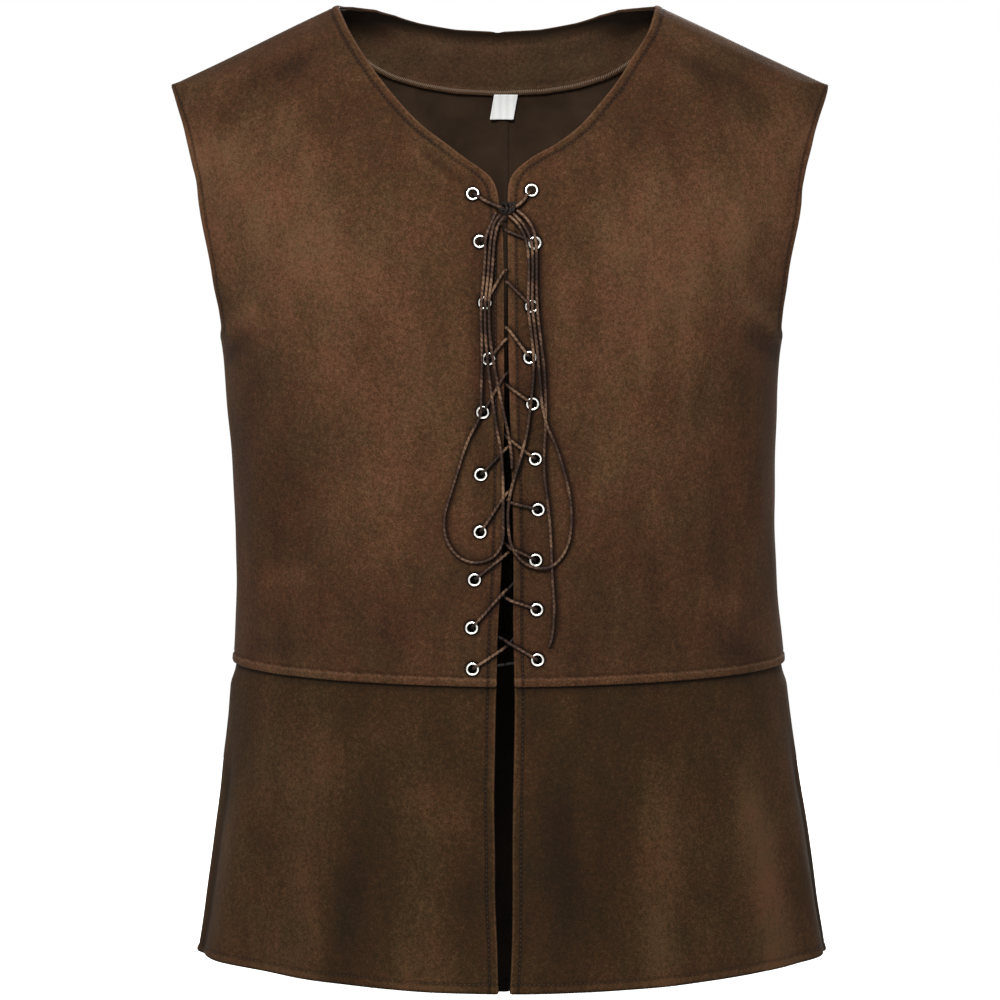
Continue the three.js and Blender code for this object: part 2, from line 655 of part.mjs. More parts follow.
function skirtFront(side) {
  const rows = SKIRT_DROPS.map((drop) => {
    const edgeAngle = frontEdge(side, skirtHeight(drop, 1)).angle;
    const row = columnShares(FRONT_COLUMNS).map((share) => (
      skirtPlace(THREE.MathUtils.lerp(edgeAngle, degrees(90) * side.sign, share), drop)));
    row[FRONT_COLUMNS].shift = clearOfSide(true);
    return row;
  });
  return wallGeometry(rows, WALL);
}

function skirtBack() {
  const fromCentre = columnShares(BACK_COLUMNS).map((share) => degrees(90) * share);
  const turns = [...fromCentre.slice(1).reverse().map((turn) => -turn), ...fromCentre];
  const rows = SKIRT_DROPS.map((drop) => {
    const row = turns.map((turn) => skirtPlace(degrees(180) + turn, drop));
    row[0].shift = clearOfSide(false);
    row[row.length - 1].shift = clearOfSide(false);
    return row;
  });
  return wallGeometry(rows, WALL);
}

function backNeckZ(neck) {
  const centre = BACK_ROWS.findIndex((row) => row.neck === 0);
  const rows = BACK_ROWS.slice(0, centre + 1);
  const i = Math.max(0, rows.findIndex((row) => row.neck <= neck) - 1);
  const share = (rows[i].neck - neck) / (rows[i].neck - rows[i + 1].neck);
  return THREE.MathUtils.lerp(rows[i].inner, rows[i + 1].inner, share);
}

function neckFacing() {
  const depth = -(WALL + FACING_GAP);
  const stations = [
    ...FACING_LOWER.slice(1).reverse().map((row) => ({ ...row, sign: -1 })),
    ...FACING_LOWER.map((row) => ({ ...row, sign: 1 })),
  ];
  const rows = [0, 0.33, 0.67, 1].map((share) => stations.map((station) => {
    const neck = Math.min(station.neck, FACING_END);
    const top = backNeckZ(neck) - FACING_SET_BACK;
    return {
      angle: degrees(180 - neck * station.sign),
      z: THREE.MathUtils.lerp(top, station.z, share),
      lift: depth,
    };
  }));
  return wallGeometry(rows, FACING_WALL);
}

function careLabel() {
  const top = FACING_LOWER[0].z - LABEL_DROP;
  const rows = [0, 0.5, 1].map((share) => [-0.5, 0, 0.5].map((across) => {
    const z = top - share * LABEL_HEIGHT;
    const x = LABEL_CENTRE + across * LABEL_WIDTH - share * LABEL_SLANT;
    return { angle: degrees(180) - angleAt(x, z), z, lift: -(WALL + LABEL_GAP) };
  }));
  return wallGeometry(rows, LABEL_WALL);
}

// ---------------------------------------------------------------- eyelets

const eyeletsOf = (side) => EYELETS.map((row) => ({
  x: row[`${side.name}X`],
  z: row[`${side.name}Z`],
}));

// Stands a shape made along +Z on the cloth at an eyelet.
function placedOnCloth(geometry, { x, z }) {
  const angle = angleAt(x, z);
  const outward = formNormal(angle, z);
  const turn = new THREE.Quaternion().setFromUnitVectors(new THREE.Vector3(0, 0, 1), outward);
  return geometry
    .applyQuaternion(turn)
    .translate(...clothPoint(angle, z).toArray());
}

function eyeletGeometry(place) {
  const { hole, barrel, rim, washer, crown, sheet, clearance, segments } = EYELET;
  const profile = [
    [hole, -(WALL + clearance + sheet)],
    [washer, -(WALL + clearance + sheet)],
    [barrel, -(WALL + clearance)],
    [barrel, clearance],
    [rim, clearance],
    [hole, crown + clearance],
    [hole, -(WALL + clearance + sheet)],
  ].map(([radius, height]) => new THREE.Vector2(radius, height));
  const lathe = new THREE.LatheGeometry(profile, segments);
  lathe.rotateX(Math.PI / 2);
  return welded(placedOnCloth(lathe, place));
}

function punched(panel, places) {
  const depth = 12;
  return places.reduce((solid, place) => {
    const punch = new THREE.CylinderGeometry(PUNCH.radius, PUNCH.radius, depth, PUNCH.segments);
    punch.rotateX(Math.PI / 2);
    return solid.subtract(toSolid(placedOnCloth(punch, place)));
  }, toSolid(panel));
}

// ---------------------------------------------------------------- lacing

const gapCentreX = (z) => (track(FRONT_EDGE, 'left', z) - track(FRONT_EDGE, 'right', z)) / 2;

// Through an eyelet from behind, coming from one place and leaving for another.
function throughEyelet(eyelet, from, to) {
  const step = (other, distance) => {
    const reach = Math.hypot(other.x - eyelet.x, other.z - eyelet.z);
    const share = distance / reach;
    return [eyelet.x + (other.x - eyelet.x) * share, eyelet.z + (other.z - eyelet.z) * share];
  };
  return [
    ...EYELET_APPROACH.map(({ distance, lift }) => frontPoint(...step(from, distance), lift)),
    frontPoint(eyelet.x, eyelet.z, EYELET_CENTRE_LIFT),
    ...EYELET_DEPARTURE.map(({ distance, lift }) => frontPoint(...step(to, distance), lift)),
  ];
}

// From the outside of one front, in between the two and on behind the other one.
function throughGap(eyelet, dive) {
  const towards = Math.sign(dive.x - eyelet.x);
  return DIVE.map(({ across, rise, lift }) => (
    frontPoint(dive.x + across * towards, dive.z + rise, lift)));
}

// One half of the lace, from behind the lowest pair up to the knot, changing sides at each pair.
function lacingHalf(start) {
  const other = (side) => (side === SIDES[0] ? SIDES[1] : SIDES[0]);
  const last = EYELETS.length - 1;
  const bar = {
    x: (EYELETS[last].rightX + EYELETS[last].leftX) / 2,
    z: (EYELETS[last].rightZ + EYELETS[last].leftZ) / 2,
  };
  const points = [frontPoint(bar.x + start.sign * (GAP / 2), bar.z, BAR_LIFT)];
  let side = start;
  let from = bar;
  for (let row = last; row > 0; row -= 1) {
    const eyelet = eyeletsOf(side)[row];
    const diveZ = CROSSINGS[row - 1][side.name === 'right' ? 'fromRight' : 'fromLeft'];
    const dive = { x: gapCentreX(diveZ), z: diveZ };
    points.push(...throughEyelet(eyelet, from, dive), ...throughGap(eyelet, dive));
    from = dive;
    side = other(side);
  }
  const top = eyeletsOf(side)[0];
  const knotSide = {
    x: KNOT.x + side.sign * (KNOT.halfWidth + KNOT_ENTRY.beside),
    z: KNOT.z + KNOT_ENTRY.above,
  };
  const bowed = {
    x: (top.x + knotSide.x) / 2 + side.sign * KNOT_ENTRY.bow,
    z: (top.z + knotSide.z) / 2,
  };
  points.push(...throughEyelet(top, from, knotSide));
  points.push(frontPoint(bowed.x, bowed.z, KNOT_ENTRY.bowLift));
  points.push(frontPoint(knotSide.x, knotSide.z, KNOT_ENTRY.lift));
  return tubeGeometry(new SectionedCurve(points), points.length - 1);
}

function routeGeometry(route) {
  const places = route.map(([x, z, lift]) => frontPoint(x, z, lift));
  const path = new THREE.CatmullRomCurve3(places, false, 'centripetal');
  const stepLength = 3 * 2 * LACE_RADIUS;
  return tubeGeometry(path, Math.round(path.getLength() / stepLength));
}

function knotGeometry() {
  const ball = new THREE.SphereGeometry(1, 12, 8);
  ball.scale(KNOT.halfWidth, KNOT.halfDepth, KNOT.halfHeight);
  return welded(ball.translate(...frontPoint(KNOT.x, KNOT.z, KNOT.lift).toArray()));
}

// ---------------------------------------------------------------- the vest

const group = new THREE.Group();

function addPiece(name, geometry, finish) {
  const mesh = new THREE.Mesh(geometry, finish);
  mesh.name = name;
  group.add(mesh);
}

for (const side of SIDES) {
  addPiece(`front_${side.name}`, fromSolid(punched(frontPanel(side), eyeletsOf(side))), suede);
  addPiece(`back_${side.name}`, backPanel(side), suede);
  addPiece(`skirt_front_${side.name}`, skirtFront(side), suede);
}
addPiece('skirt_back', skirtBack(), suede);
addPiece('neck_facing', neckFacing(), facingSuede);
addPiece('care_label', careLabel(), labelRibbon);

for (const side of SIDES) {
  eyeletsOf(side).forEach((place, i) => {
    addPiece(`eyelet_${side.name}_${String(i + 1).padStart(2, '0')}`, eyeletGeometry(place), nickel);
  });
  addPiece(`lacing_from_${side.name}`, lacingHalf(side), laceCord);
}
addPiece('knot', knotGeometry(), laceCord);
addPiece('loop_right', routeGeometry(LOOP_RIGHT), laceCord);
addPiece('loop_left', routeGeometry(LOOP_LEFT), laceCord);
addPiece('lace_end_right', routeGeometry(END_RIGHT), laceCord);
addPiece('lace_end_left', routeGeometry(END_LEFT), laceCord);

export default group;
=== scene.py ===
# %% [markdown]
# # A lace-up suede vest, filled out as it is when worn
# A vest like this is cut from flat suede: two fronts, two backs, a short flared skirt in three pieces
# and a narrow facing inside the back neck. The edges are turned under and stitched down, the waist
# seam is lapped, and a thin round lace runs through ten pairs of metal eyelets to a bow.
# Each piece is made here as a fine two-sided wall over one body form, so the seams meet and the
# turned edges, stitches, eyelets and lace all sit on the same cloth.

# %% Load the measured frame
import math
import bmesh
import bpy
import numpy as np
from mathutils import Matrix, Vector


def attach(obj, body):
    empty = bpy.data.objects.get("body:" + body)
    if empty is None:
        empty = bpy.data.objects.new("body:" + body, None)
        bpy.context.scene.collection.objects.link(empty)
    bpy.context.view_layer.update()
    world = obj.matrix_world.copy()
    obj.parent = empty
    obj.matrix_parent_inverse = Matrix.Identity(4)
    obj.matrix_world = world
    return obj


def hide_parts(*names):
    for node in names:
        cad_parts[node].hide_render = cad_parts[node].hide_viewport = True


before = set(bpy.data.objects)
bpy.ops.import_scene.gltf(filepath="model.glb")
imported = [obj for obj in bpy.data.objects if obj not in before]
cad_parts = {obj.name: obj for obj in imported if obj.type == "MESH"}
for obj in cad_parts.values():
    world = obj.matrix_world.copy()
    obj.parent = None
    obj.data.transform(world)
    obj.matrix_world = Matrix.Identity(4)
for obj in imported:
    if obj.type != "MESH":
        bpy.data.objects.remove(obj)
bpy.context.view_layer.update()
MM = 0.001
print("nodes in the frame:", len(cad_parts))

# %% [markdown]
# ## Two small tools for materials
# Shaders count light, so a colour read as a hex code has to be turned to linear values first.
# Every material below is a small graph of nodes. One function adds a node, sets its values and links
# what goes into it, which keeps each material readable as a list of what feeds what.

# %% Colour and node helpers
def linear(code):
    """An sRGB hex colour as linear red, green, blue and alpha."""
    channels = [int(code[i:i + 2], 16) / 255 for i in (1, 3, 5)]
    return (*(c / 12.92 if c <= 0.04045 else ((c + 0.055) / 1.055) ** 2.4 for c in channels), 1.0)


def add(material, kind, sockets=None, links=None, stops=None, **settings):
    """Adds one node: settings by name, socket values, links into sockets, and a ramp's stops."""
    tree = material.node_tree
    node = tree.nodes.new(kind)
    for name, value in settings.items():
        setattr(node, name, value)
    for name, value in (sockets or {}).items():
        node.inputs[name].default_value = value
    for name, output in (links or {}).items():
        tree.links.new(output, node.inputs[name])
    for i, (place, colour) in enumerate(stops or []):
        ramp = node.color_ramp.elements
        stop = ramp[i] if i < len(ramp) else ramp.new(place)
        stop.position, stop.color = place, colour
    return node


def new_material(name):
    material = bpy.data.materials.new(name)
    material.use_nodes = True
    material.node_tree.nodes.clear()
    return material


def finish_with(material, shader):
    output = add(material, "ShaderNodeOutputMaterial")
    material.node_tree.links.new(shader.outputs[0], output.inputs["Surface"])
    return material


# %% [markdown]
# ## The camera
# A long lens a little above chest height sees the vest almost square on, with a few degrees of
# looking down, so the inside of the back neck shows over the front.

# %% Place the camera
CAMERA_AT = (0.0, -2.350, -0.161)
LOOKING_DOWN = 4.9
LENS = 114.6

camera = bpy.data.objects.new("camera", bpy.data.cameras.new("camera"))
camera.data.lens = LENS
camera.data.sensor_width = 36
camera.location = CAMERA_AT
camera.rotation_euler = (math.radians(90 - LOOKING_DOWN), 0, 0)
bpy.context.scene.collection.objects.link(camera)
bpy.context.scene.camera = camera
bpy.context.scene.view_settings.view_transform = "Standard"
print("camera", CAMERA_AT, "lens", LENS)

# %% [markdown]
# ## The body form
# Real cloth takes its shape from the wearer. Here that shape is one smooth hollow form: at each
# height it has a half width and a depth in front and behind. A place on it is an angle, 0 at the
# centre front and 90 degrees at the wearer's left side, and a height. Short tables of sizes in
# millimetres drive it, and a smooth curve through each column fills the heights between.

# %% Sizes of the form
WALL = 1.6
GAP = 0.3
NECK_HALF = 116
TIP_HALF = 240
TIP_Z = -58
UNDERARM_Z = -242
WAIST_CENTRE_Z = -484
WAIST_SIDE_Z = -481
HEM_CENTRE_Z = -700
HEM_SIDE_Z = -701
TAIL_DROP = 65
TAIL_START, TAIL_END, TAIL_POWER = 52, 190, 1.7
LAP = 6.5
LAP_GAP = 0.8
LAP_RUN_OUT = 17


def table(columns, rows):
    """Rows of numbers under named columns, as one array for each column."""
    return dict(zip(columns.split(), np.array(rows, float).T))


RINGS = table("z front back sway power", [
    (20, 58, 66, -2, 0.86), (0, 64, 70, -2, 0.86), (-20, 72, 78, -1.5, 0.86),
    (-58, 88, 100, 0, 0.86), (-90, 102, 112, 0, 0.86), (-125, 117, 119, 0, 0.86),
    (-170, 127, 123, 0, 0.86), (-242, 130, 122, 1, 0.86), (-310, 124, 117, 2, 0.86),
    (-384, 117, 112, 4, 0.88), (-430, 118, 113, 5, 0.94), (-482, 122, 116, 6.5, 1.06),
    (-560, 130, 122, 7.7, 1.2), (-630, 136, 127, 8.9, 1.35), (-700, 142, 132, 8.7, 1.5),
])
WIDTHS = table("z half", [
    (TIP_Z, TIP_HALF), (-88, 241), (-150, 237), (-200, 222),
    (UNDERARM_Z, 206.5), (-300, 202), (-362, 199.5), (-420, 200),
    (-482, 204.8), (-528, 210.2), (-560, 214.4), (-630, 225), (-700, 235.4),
])

# %% Read a smooth curve out of a table
def track(rows, column, z):
    """A smooth curve through a column whose rows go down in z, straight beyond both ends."""
    z = np.asarray(z, float)
    heights, values = rows["z"], rows[column]
    last = len(heights) - 1
    i = np.clip(np.searchsorted(-heights, -z, side="right") - 1, 0, last - 1)
    span = heights[i + 1] - heights[i]
    t = (z - heights[i]) / span
    before, after = np.maximum(i - 1, 0), np.minimum(i + 2, last)
    start = (values[i + 1] - values[before]) / (heights[i + 1] - heights[before]) * span
    end = (values[after] - values[i]) / (heights[after] - heights[i]) * span
    smooth = (values[i] * (2 * t**3 - 3 * t**2 + 1) + start * (t**3 - 2 * t**2 + t)
              + values[i + 1] * (3 * t**2 - 2 * t**3) + end * (t**3 - t**2))
    top_slope = (values[1] - values[0]) / (heights[1] - heights[0])
    low_slope = (values[-1] - values[-2]) / (heights[-1] - heights[-2])
    above = values[0] + top_slope * (z - heights[0])
    below = values[-1] + low_slope * (z - heights[-1])
    return np.where(z >= heights[0], above, np.where(z <= heights[-1], below, smooth))


def smoothstep(value, low, high):
    t = np.clip((value - low) / (high - low), 0, 1)
    return t * t * (3 - 2 * t)


# %% Places and normals on the form
def half_width(z):
    shoulder = NECK_HALF + (TIP_HALF - NECK_HALF) * np.asarray(z, float) / TIP_Z
    return np.where(z < TIP_Z, track(WIDTHS, "half", z), shoulder)


def form_point(angle, z):
    cosine = np.cos(angle)
    depth = np.where(cosine >= 0, track(RINGS, "front", z), track(RINGS, "back", z))
    x = track(RINGS, "sway", z) + half_width(z) * np.sin(angle)
    y = -np.sign(cosine) * depth * np.abs(cosine) ** track(RINGS, "power", z)
    return np.stack(np.broadcast_arrays(x, y, np.asarray(z, float)), -1)


def form_normal(angle, z):
    turn, rise = 0.02, 2
    across = form_point(angle + turn, z) - form_point(angle - turn, z)
    upward = form_point(angle, z + rise) - form_point(angle, z - rise)
    normal = np.cross(across, upward)
    return normal / np.linalg.norm(normal, axis=-1, keepdims=True)


def angle_at(x, z):
    """The angle at which the front has a given x."""
    return np.arcsin(np.clip((x - track(RINGS, "sway", z)) / half_width(z), -1, 1))


# %% [markdown]
# ## Folds and unevenness
# Cloth over a body never lies dead smooth. Each broad fold is a soft ridge or trough along a line:
# under the arms, over the hips and in the flare of the skirt, on the sides and the back as well as
# the front. Finer creases at the armholes, the neck and beside the opening come on top, and a slow
# drift of under half a millimetre takes away the look of a turned part.

# %% Folds, creases and drift
FOLD_RADIUS = 165
FOLD_RUN_OUT = 0.25
FOLD_RUN_OUT_AT_HEM = 0.025
FOLDS = table("from from_z to to_z width height", [
    (50, -262, 54, -430, 20, -3), (63, -250, 66, -400, 18, 2.5),
    (-33, -300, -57, -425, 18, -3), (-45, -262, -70, -390, 18, 2.4),
    (-70, -235, -48, -180, 14, -2), (70, -235, 47, -175, 14, -2.2),
    (-62, -560, -66, -710, 20, 4), (-46, -590, -50, -710, 20, -3),
    (68, -550, 72, -710, 20, 4), (18, -545, 40, -690, 24, -2.6),
    (110, -300, 118, -470, 22, -4), (-112, -290, -120, -465, 22, -3.6),
    (142, -330, 136, -480, 18, 3), (-146, -345, -138, -490, 18, 3.2),
    (128, -110, 120, -215, 18, -2.6), (-126, -105, -118, -205, 18, -2.4),
    (112, -540, 110, -735, 24, 5), (150, -560, 152, -775, 26, 4.4),
    (-158, -550, -160, -780, 25, 5), (-118, -565, -116, -745, 24, 4),
    (131, -560, 131, -765, 20, -4),
])
CREASES = table("from from_z to to_z width height", [
    (-13.5, -107, -5.5, -133, 3.2, -1.2), (-16, -103, -7.5, -131, 4.5, 0.8), (-11.5, -102, -4, -126, 4, 0.8),
    (-86, -74, -66, -122, 6, 1.1), (-80, -86, -63, -140, 5, -1.0), (-72, -84, -60, -128, 6, 0.8),
    (84, -72, 66, -116, 6, 1.2), (79, -92, 62, -146, 5, -1.0), (71, -80, 58, -122, 7, 0.8),
    (-40, -30, -58, -100, 16, -1.3), (38, -30, 55, -96, 16, -1.2),
    (-76, -246, -52, -214, 9, 1.4), (76, -244, 50, -208, 9, 1.5),
    (-84, -262, -60, -236, 10, -1.5), (84, -262, 58, -232, 10, -1.4),
    (4.0, -170, 3.8, -470, 3.5, -0.7), (-66, -420, -38, -404, 12, 0.9),
    (62, -436, 38, -424, 12, 0.9), (-72, -470, -44, -458, 9, -0.8), (70, -474, 46, -462, 9, -0.8),
    (-12, -540, -15, -715, 16, 1.5), (-28, -520, -31, -715, 15, -1.6), (52, -530, 57, -715, 16, 1.8),
    (30, -520, 27, -715, 14, 1.3), (9, -530, 11, -715, 10, -0.8), (-76, -520, -80, -715, 12, -2.0),
    (80, -520, 84, -715, 12, -2.0), (98, -250, 122, -218, 10, 1.5), (-98, -252, -122, -222, 10, 1.4),
    (104, -270, 132, -236, 11, -1.5), (-102, -272, -134, -242, 11, -1.4),
    (166, -90, 158, -200, 22, -1.2), (-164, -80, -155, -190, 20, -1.3),
    (150, -420, 118, -392, 14, 1.2), (-150, -430, -116, -398, 14, 1.3),
    (170, -470, 140, -448, 10, -1.0), (-172, -468, -138, -446, 10, -1.1),
    (172, -520, 174, -785, 18, 2.2), (-172, -530, -176, -785, 17, -1.8), (-138, -520, -140, -765, 18, -3),
])


def fold_lift(folds, angle, z):
    """How far a table of folds moves the cloth out at a place."""
    angle = (np.asarray(angle) + math.pi) % (2 * math.pi) - math.pi
    lift = np.zeros(np.broadcast(angle, z).shape)
    for start, start_z, end, end_z, width, height in zip(*folds.values()):
        run = np.array([math.radians(end - start) * FOLD_RADIUS, end_z - start_z])
        across = angle * FOLD_RADIUS - math.radians(start) * FOLD_RADIUS
        along = (across * run[0] + (z - start_z) * run[1]) / run.dot(run)
        aside = (across * run[1] - (z - start_z) * run[0]) / np.hypot(*run)
        run_out = FOLD_RUN_OUT_AT_HEM if end_z < HEM_CENTRE_Z else FOLD_RUN_OUT
        fade = np.clip(along / FOLD_RUN_OUT, 0, 1) * np.clip((1 - along) / run_out, 0, 1)
        lift = lift + height * fade * np.exp(-(aside / width) ** 2)
    return lift


waves = np.random.default_rng(11)
DRIFT = [(2 * math.pi / waves.uniform(38, 120), waves.uniform(0, math.pi), waves.uniform(0, 6))
         for _ in range(14)]


def drift(angle, z):
    total = 0
    for rate, way, phase in DRIFT:
        place = angle * FOLD_RADIUS * math.cos(way) + z * math.sin(way)
        total = total + np.sin(rate * place + phase)
    return 0.09 * total


def cloth_point(angle, z, lift=0.0):
    out = fold_lift(FOLDS, angle, z) + lift
    return form_point(angle, z) + form_normal(angle, z) * np.asarray(out)[..., None]


def front_point(x, z, lift):
    return cloth_point(angle_at(x, z), z, lift)


# %% [markdown]
# ## Making pieces
# A mesh is only a list of corners and a list of faces. This helper turns both into an object, in
# metres, gives it its finish and hides the solids of the frame that the piece stands for.

# %% Make a piece from corners and faces
def make(name, points, faces, materials, replaces=(), second=None):
    """One piece. Faces whose entry in second is 1 take the second material."""
    mesh = bpy.data.meshes.new(name)
    mesh.from_pydata((np.asarray(points) * MM).tolist(), [], [tuple(f) for f in faces])
    for material in materials:
        mesh.materials.append(material)
    if second is not None:
        mesh.polygons.foreach_set("material_index", np.asarray(second, np.int32))
    mesh.polygons.foreach_set("use_smooth", np.ones(len(mesh.polygons), bool))
    mesh.update()
    piece = bpy.data.objects.new(name, mesh)
    bpy.context.scene.collection.objects.link(piece)
    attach(piece, "root")
    if replaces:
        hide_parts(*replaces)
    print(f"{name}: {len(mesh.polygons)} faces")
    return piece


def store(piece, name, values):
    """Keeps one number for each corner, which a material reads by its name."""
    values = np.asarray(values, np.float32)
    piece.data.attributes.new(name, "FLOAT", "POINT").data.foreach_set("value", values)


def outward(points, faces):
    """The faces turned so that they enclose a positive volume."""
    a, b, c = (points[faces[:, k]] for k in (0, 1, 2))
    volume = (a * np.cross(b, c)).sum()
    return faces if volume > 0 else faces[:, ::-1]


# %% [markdown]
# ## The lace: faux suede cord
# Faux suede lace is a thin fabric strip rolled and glued round a thread. It is matt, with a short nap
# that catches light along the top of the cord, and a faint spiral where the strip's edge winds round.
# The spiral comes from a wave along the length that is turned by the place round the cord, both of
# them stored on the mesh in millimetres.

# %% Lace material
LACE_DIAMETER = 2.0
LACE_TWIST = 0.05  # how far the section is from round, as a share of the radius
SPIRAL_PITCH = 3.6
LACE_NAP, LACE_WEAR = 1.6, 17  # millimetres across


def lace_material(name, dark, middle, light):
    """A rolled suede cord whose tone follows its spiral, its nap and slow wear along it."""
    material = new_material(name)
    along = add(material, "ShaderNodeAttribute", attribute_name="along").outputs["Fac"]
    turns = add(material, "ShaderNodeMath", {1: 2 * math.pi / SPIRAL_PITCH}, {0: along}, operation="MULTIPLY")
    spiral = add(material, "ShaderNodeMath", links={0: turns.outputs[0]}, operation="SINE").outputs[0]
    place = add(material, "ShaderNodeTexCoord").outputs["Object"]
    nap = add(material, "ShaderNodeTexNoise", {"Scale": 1000 / LACE_NAP, "Detail": 3.0, "Roughness": 0.7},
              {"Vector": place}).outputs["Fac"]
    tone_shift = add(material, "ShaderNodeTexNoise", {"Scale": 1000 / LACE_WEAR, "Detail": 2.0},
               {"Vector": place}).outputs["Fac"]
    shade = add(material, "ShaderNodeMath", {1: 0.06}, {0: spiral, 2: tone_shift},
                operation="MULTIPLY_ADD").outputs[0]
    shade = add(material, "ShaderNodeMath", {1: 0.4}, {0: nap, 2: shade}, operation="MULTIPLY_ADD").outputs[0]
    colour = add(material, "ShaderNodeValToRGB", links={"Fac": shade},
                 stops=[(0.48, linear(dark)), (0.70, linear(middle)), (0.92, linear(light))])
    in_shade = add(material, "ShaderNodeAttribute", attribute_name="in_shade").outputs["Fac"]
    colour = add(material, "ShaderNodeMix", {7: linear("#060403")}, {0: in_shade, 6: colour.outputs["Color"]},
                 data_type="RGBA")
    bump = add(material, "ShaderNodeBump", {"Strength": 0.5, "Distance": 0.25 * MM}, {"Height": nap})
    return finish_with(material, add(
        material, "ShaderNodeBsdfPrincipled",
        {"Roughness": 0.6, "Specular IOR Level": 0.1, "Sheen Weight": 0.01, "Sheen Roughness": 0.4,
         "Sheen Tint": linear("#b08a74")},
        {"Base Color": colour.outputs[2], "Normal": bump.outputs["Normal"]}))


lace_suede = lace_material("faux_suede_lace", "#0f0805", "#271912", "#55402f")

# %% [markdown]
# ## The bow's loops and free ends
# A lace has a real length, so each loop and each free end follows one route: places across and up the
# front with a height above the cloth, from the knot down over the eyelets and the other strands. A
# smooth curve runs through the places and a round tube follows it, with frames carried along so that
# it never twists suddenly. A tube from code is chosen over a curve with a bevel, because the spiral
# needs to know how far along it is.

# %% Routes of the loops and ends
LOOP_RIGHT = table("x z lift", [
    (0.2, -153.4, 5.4), (-3.9, -159, 5.6), (-6.3, -169, 5.6), (-7.3, -180, 5.4), (-8.3, -195, 5),
    (-10, -212, 5.4), (-10.1, -232, 5), (-9, -247, 5.4), (-7.9, -260, 5.2), (-5.6, -279, 4.8),
    (-2.5, -299, 4.6), (0.6, -317, 4.8), (2, -335, 4.4), (2.2, -352, 4.6), (2.2, -367, 4.2),
    (2, -379, 3.8), (-0.6, -387.5, 3), (-5.4, -393, 2.2), (-12, -396, 1.8), (-20, -396.5, 1.6),
    (-28.5, -393, 1.6), (-35.5, -385, 1.6), (-39, -374, 1.6), (-38.6, -362, 1.6), (-35, -349, 1.6),
    (-31, -336, 1.6), (-26.4, -321, 1.6), (-21.6, -308, 2.2), (-16.6, -298, 4.2), (-13.4, -290, 5.4),
    (-13, -281, 4.8), (-12.8, -267, 3.6), (-12.4, -254, 4.4), (-12.6, -240, 4), (-13, -226, 4),
    (-12.8, -212, 4.8), (-11.2, -196, 4.8), (-10.3, -181, 5.6), (-9.6, -168.5, 5.9), (-2.9, -151.8, 5.2),
])
LOOP_LEFT = table("x z lift", [
    (6.2, -154, 5.4), (11.4, -158.6, 5.4), (16, -166, 5.4), (18.8, -175, 5.4), (19.8, -190, 5),
    (19.5, -205, 5.2), (19.4, -218, 5.6), (21.2, -233, 5), (23.1, -250, 4.4), (22.7, -268, 4.2),
    (21, -284, 5.4), (18.6, -303, 4.8), (15.4, -317, 4.6), (11.6, -330, 4.4), (8.2, -342, 4.4),
    (6, -354, 4.8), (5.6, -366, 4.2), (7.4, -382, 4.9), (11.6, -391, 4.8), (18.4, -397.6, 3.4),
    (27.5, -400.6, 3.6), (36, -399, 4.5), (43.2, -392.5, 3.2), (48, -383, 1.8), (50, -370, 1.6),
    (49.6, -356, 1.6), (47.4, -342, 1.6), (43.6, -328, 1.7), (38.6, -313, 3), (33, -300, 4.7),
    (29.4, -286, 4.7), (27.4, -266, 4.4), (25.9, -248, 4.6), (24, -232, 4.8), (22.3, -216, 5.6),
    (22.3, -200, 5), (22.5, -186, 5.6), (21.4, -172, 6), (16.6, -161, 5.8), (9.2, -152.6, 5.6),
])
END_RIGHT = table("x z lift", [
    (3.2, -154.4, 5.2), (-0.9, -159.6, 5.4), (-3.5, -169, 5.4), (-4.6, -180, 5.2), (-5.6, -194, 5),
    (-7.3, -211, 5.7), (-7.4, -228, 5), (-6.2, -243, 5.3), (-4, -257, 5.4), (-1.2, -272, 4.7),
    (2, -287, 4.5), (5, -301, 4.5), (7.2, -314, 4.4), (8, -322, 4.1), (8.2, -329, 3.8),
])
END_LEFT = table("x z lift", [
    (11.7, -150.4, 5.2), (17.6, -155.4, 5.4), (22.3, -162.5, 5.4), (24.5, -171, 5.6), (25.1, -183, 5),
    (25.2, -198, 4.6), (25.4, -213, 4.8), (26.8, -229, 4.6), (28.8, -245, 4.4), (30.6, -260, 3.6),
    (31.4, -274, 2.4), (31.8, -288, 1.6), (31.6, -302, 1.6), (31, -314, 1.6), (30.8, -326, 1.6),
    (31.4, -338, 1.6), (33.2, -352, 1.6), (34.8, -368, 1.6), (35.8, -384, 1.6), (36.4, -400, 1.6),
    (37.2, -414, 1.6), (38, -427, 1.6), (37.6, -440, 1.6), (36.2, -451, 1.6), (34.2, -456.5, 1.6),
])

# %% Smooth paths and tubes
def even(path, pitch):
    """The same path with its points a set distance apart."""
    reach = np.concatenate([[0], np.cumsum(np.linalg.norm(np.diff(path, axis=0), axis=1))])
    stations = np.linspace(0, reach[-1], max(2, round(reach[-1] / pitch)) + 1)
    return np.stack([np.interp(stations, reach, path[:, k]) for k in range(3)], -1), stations


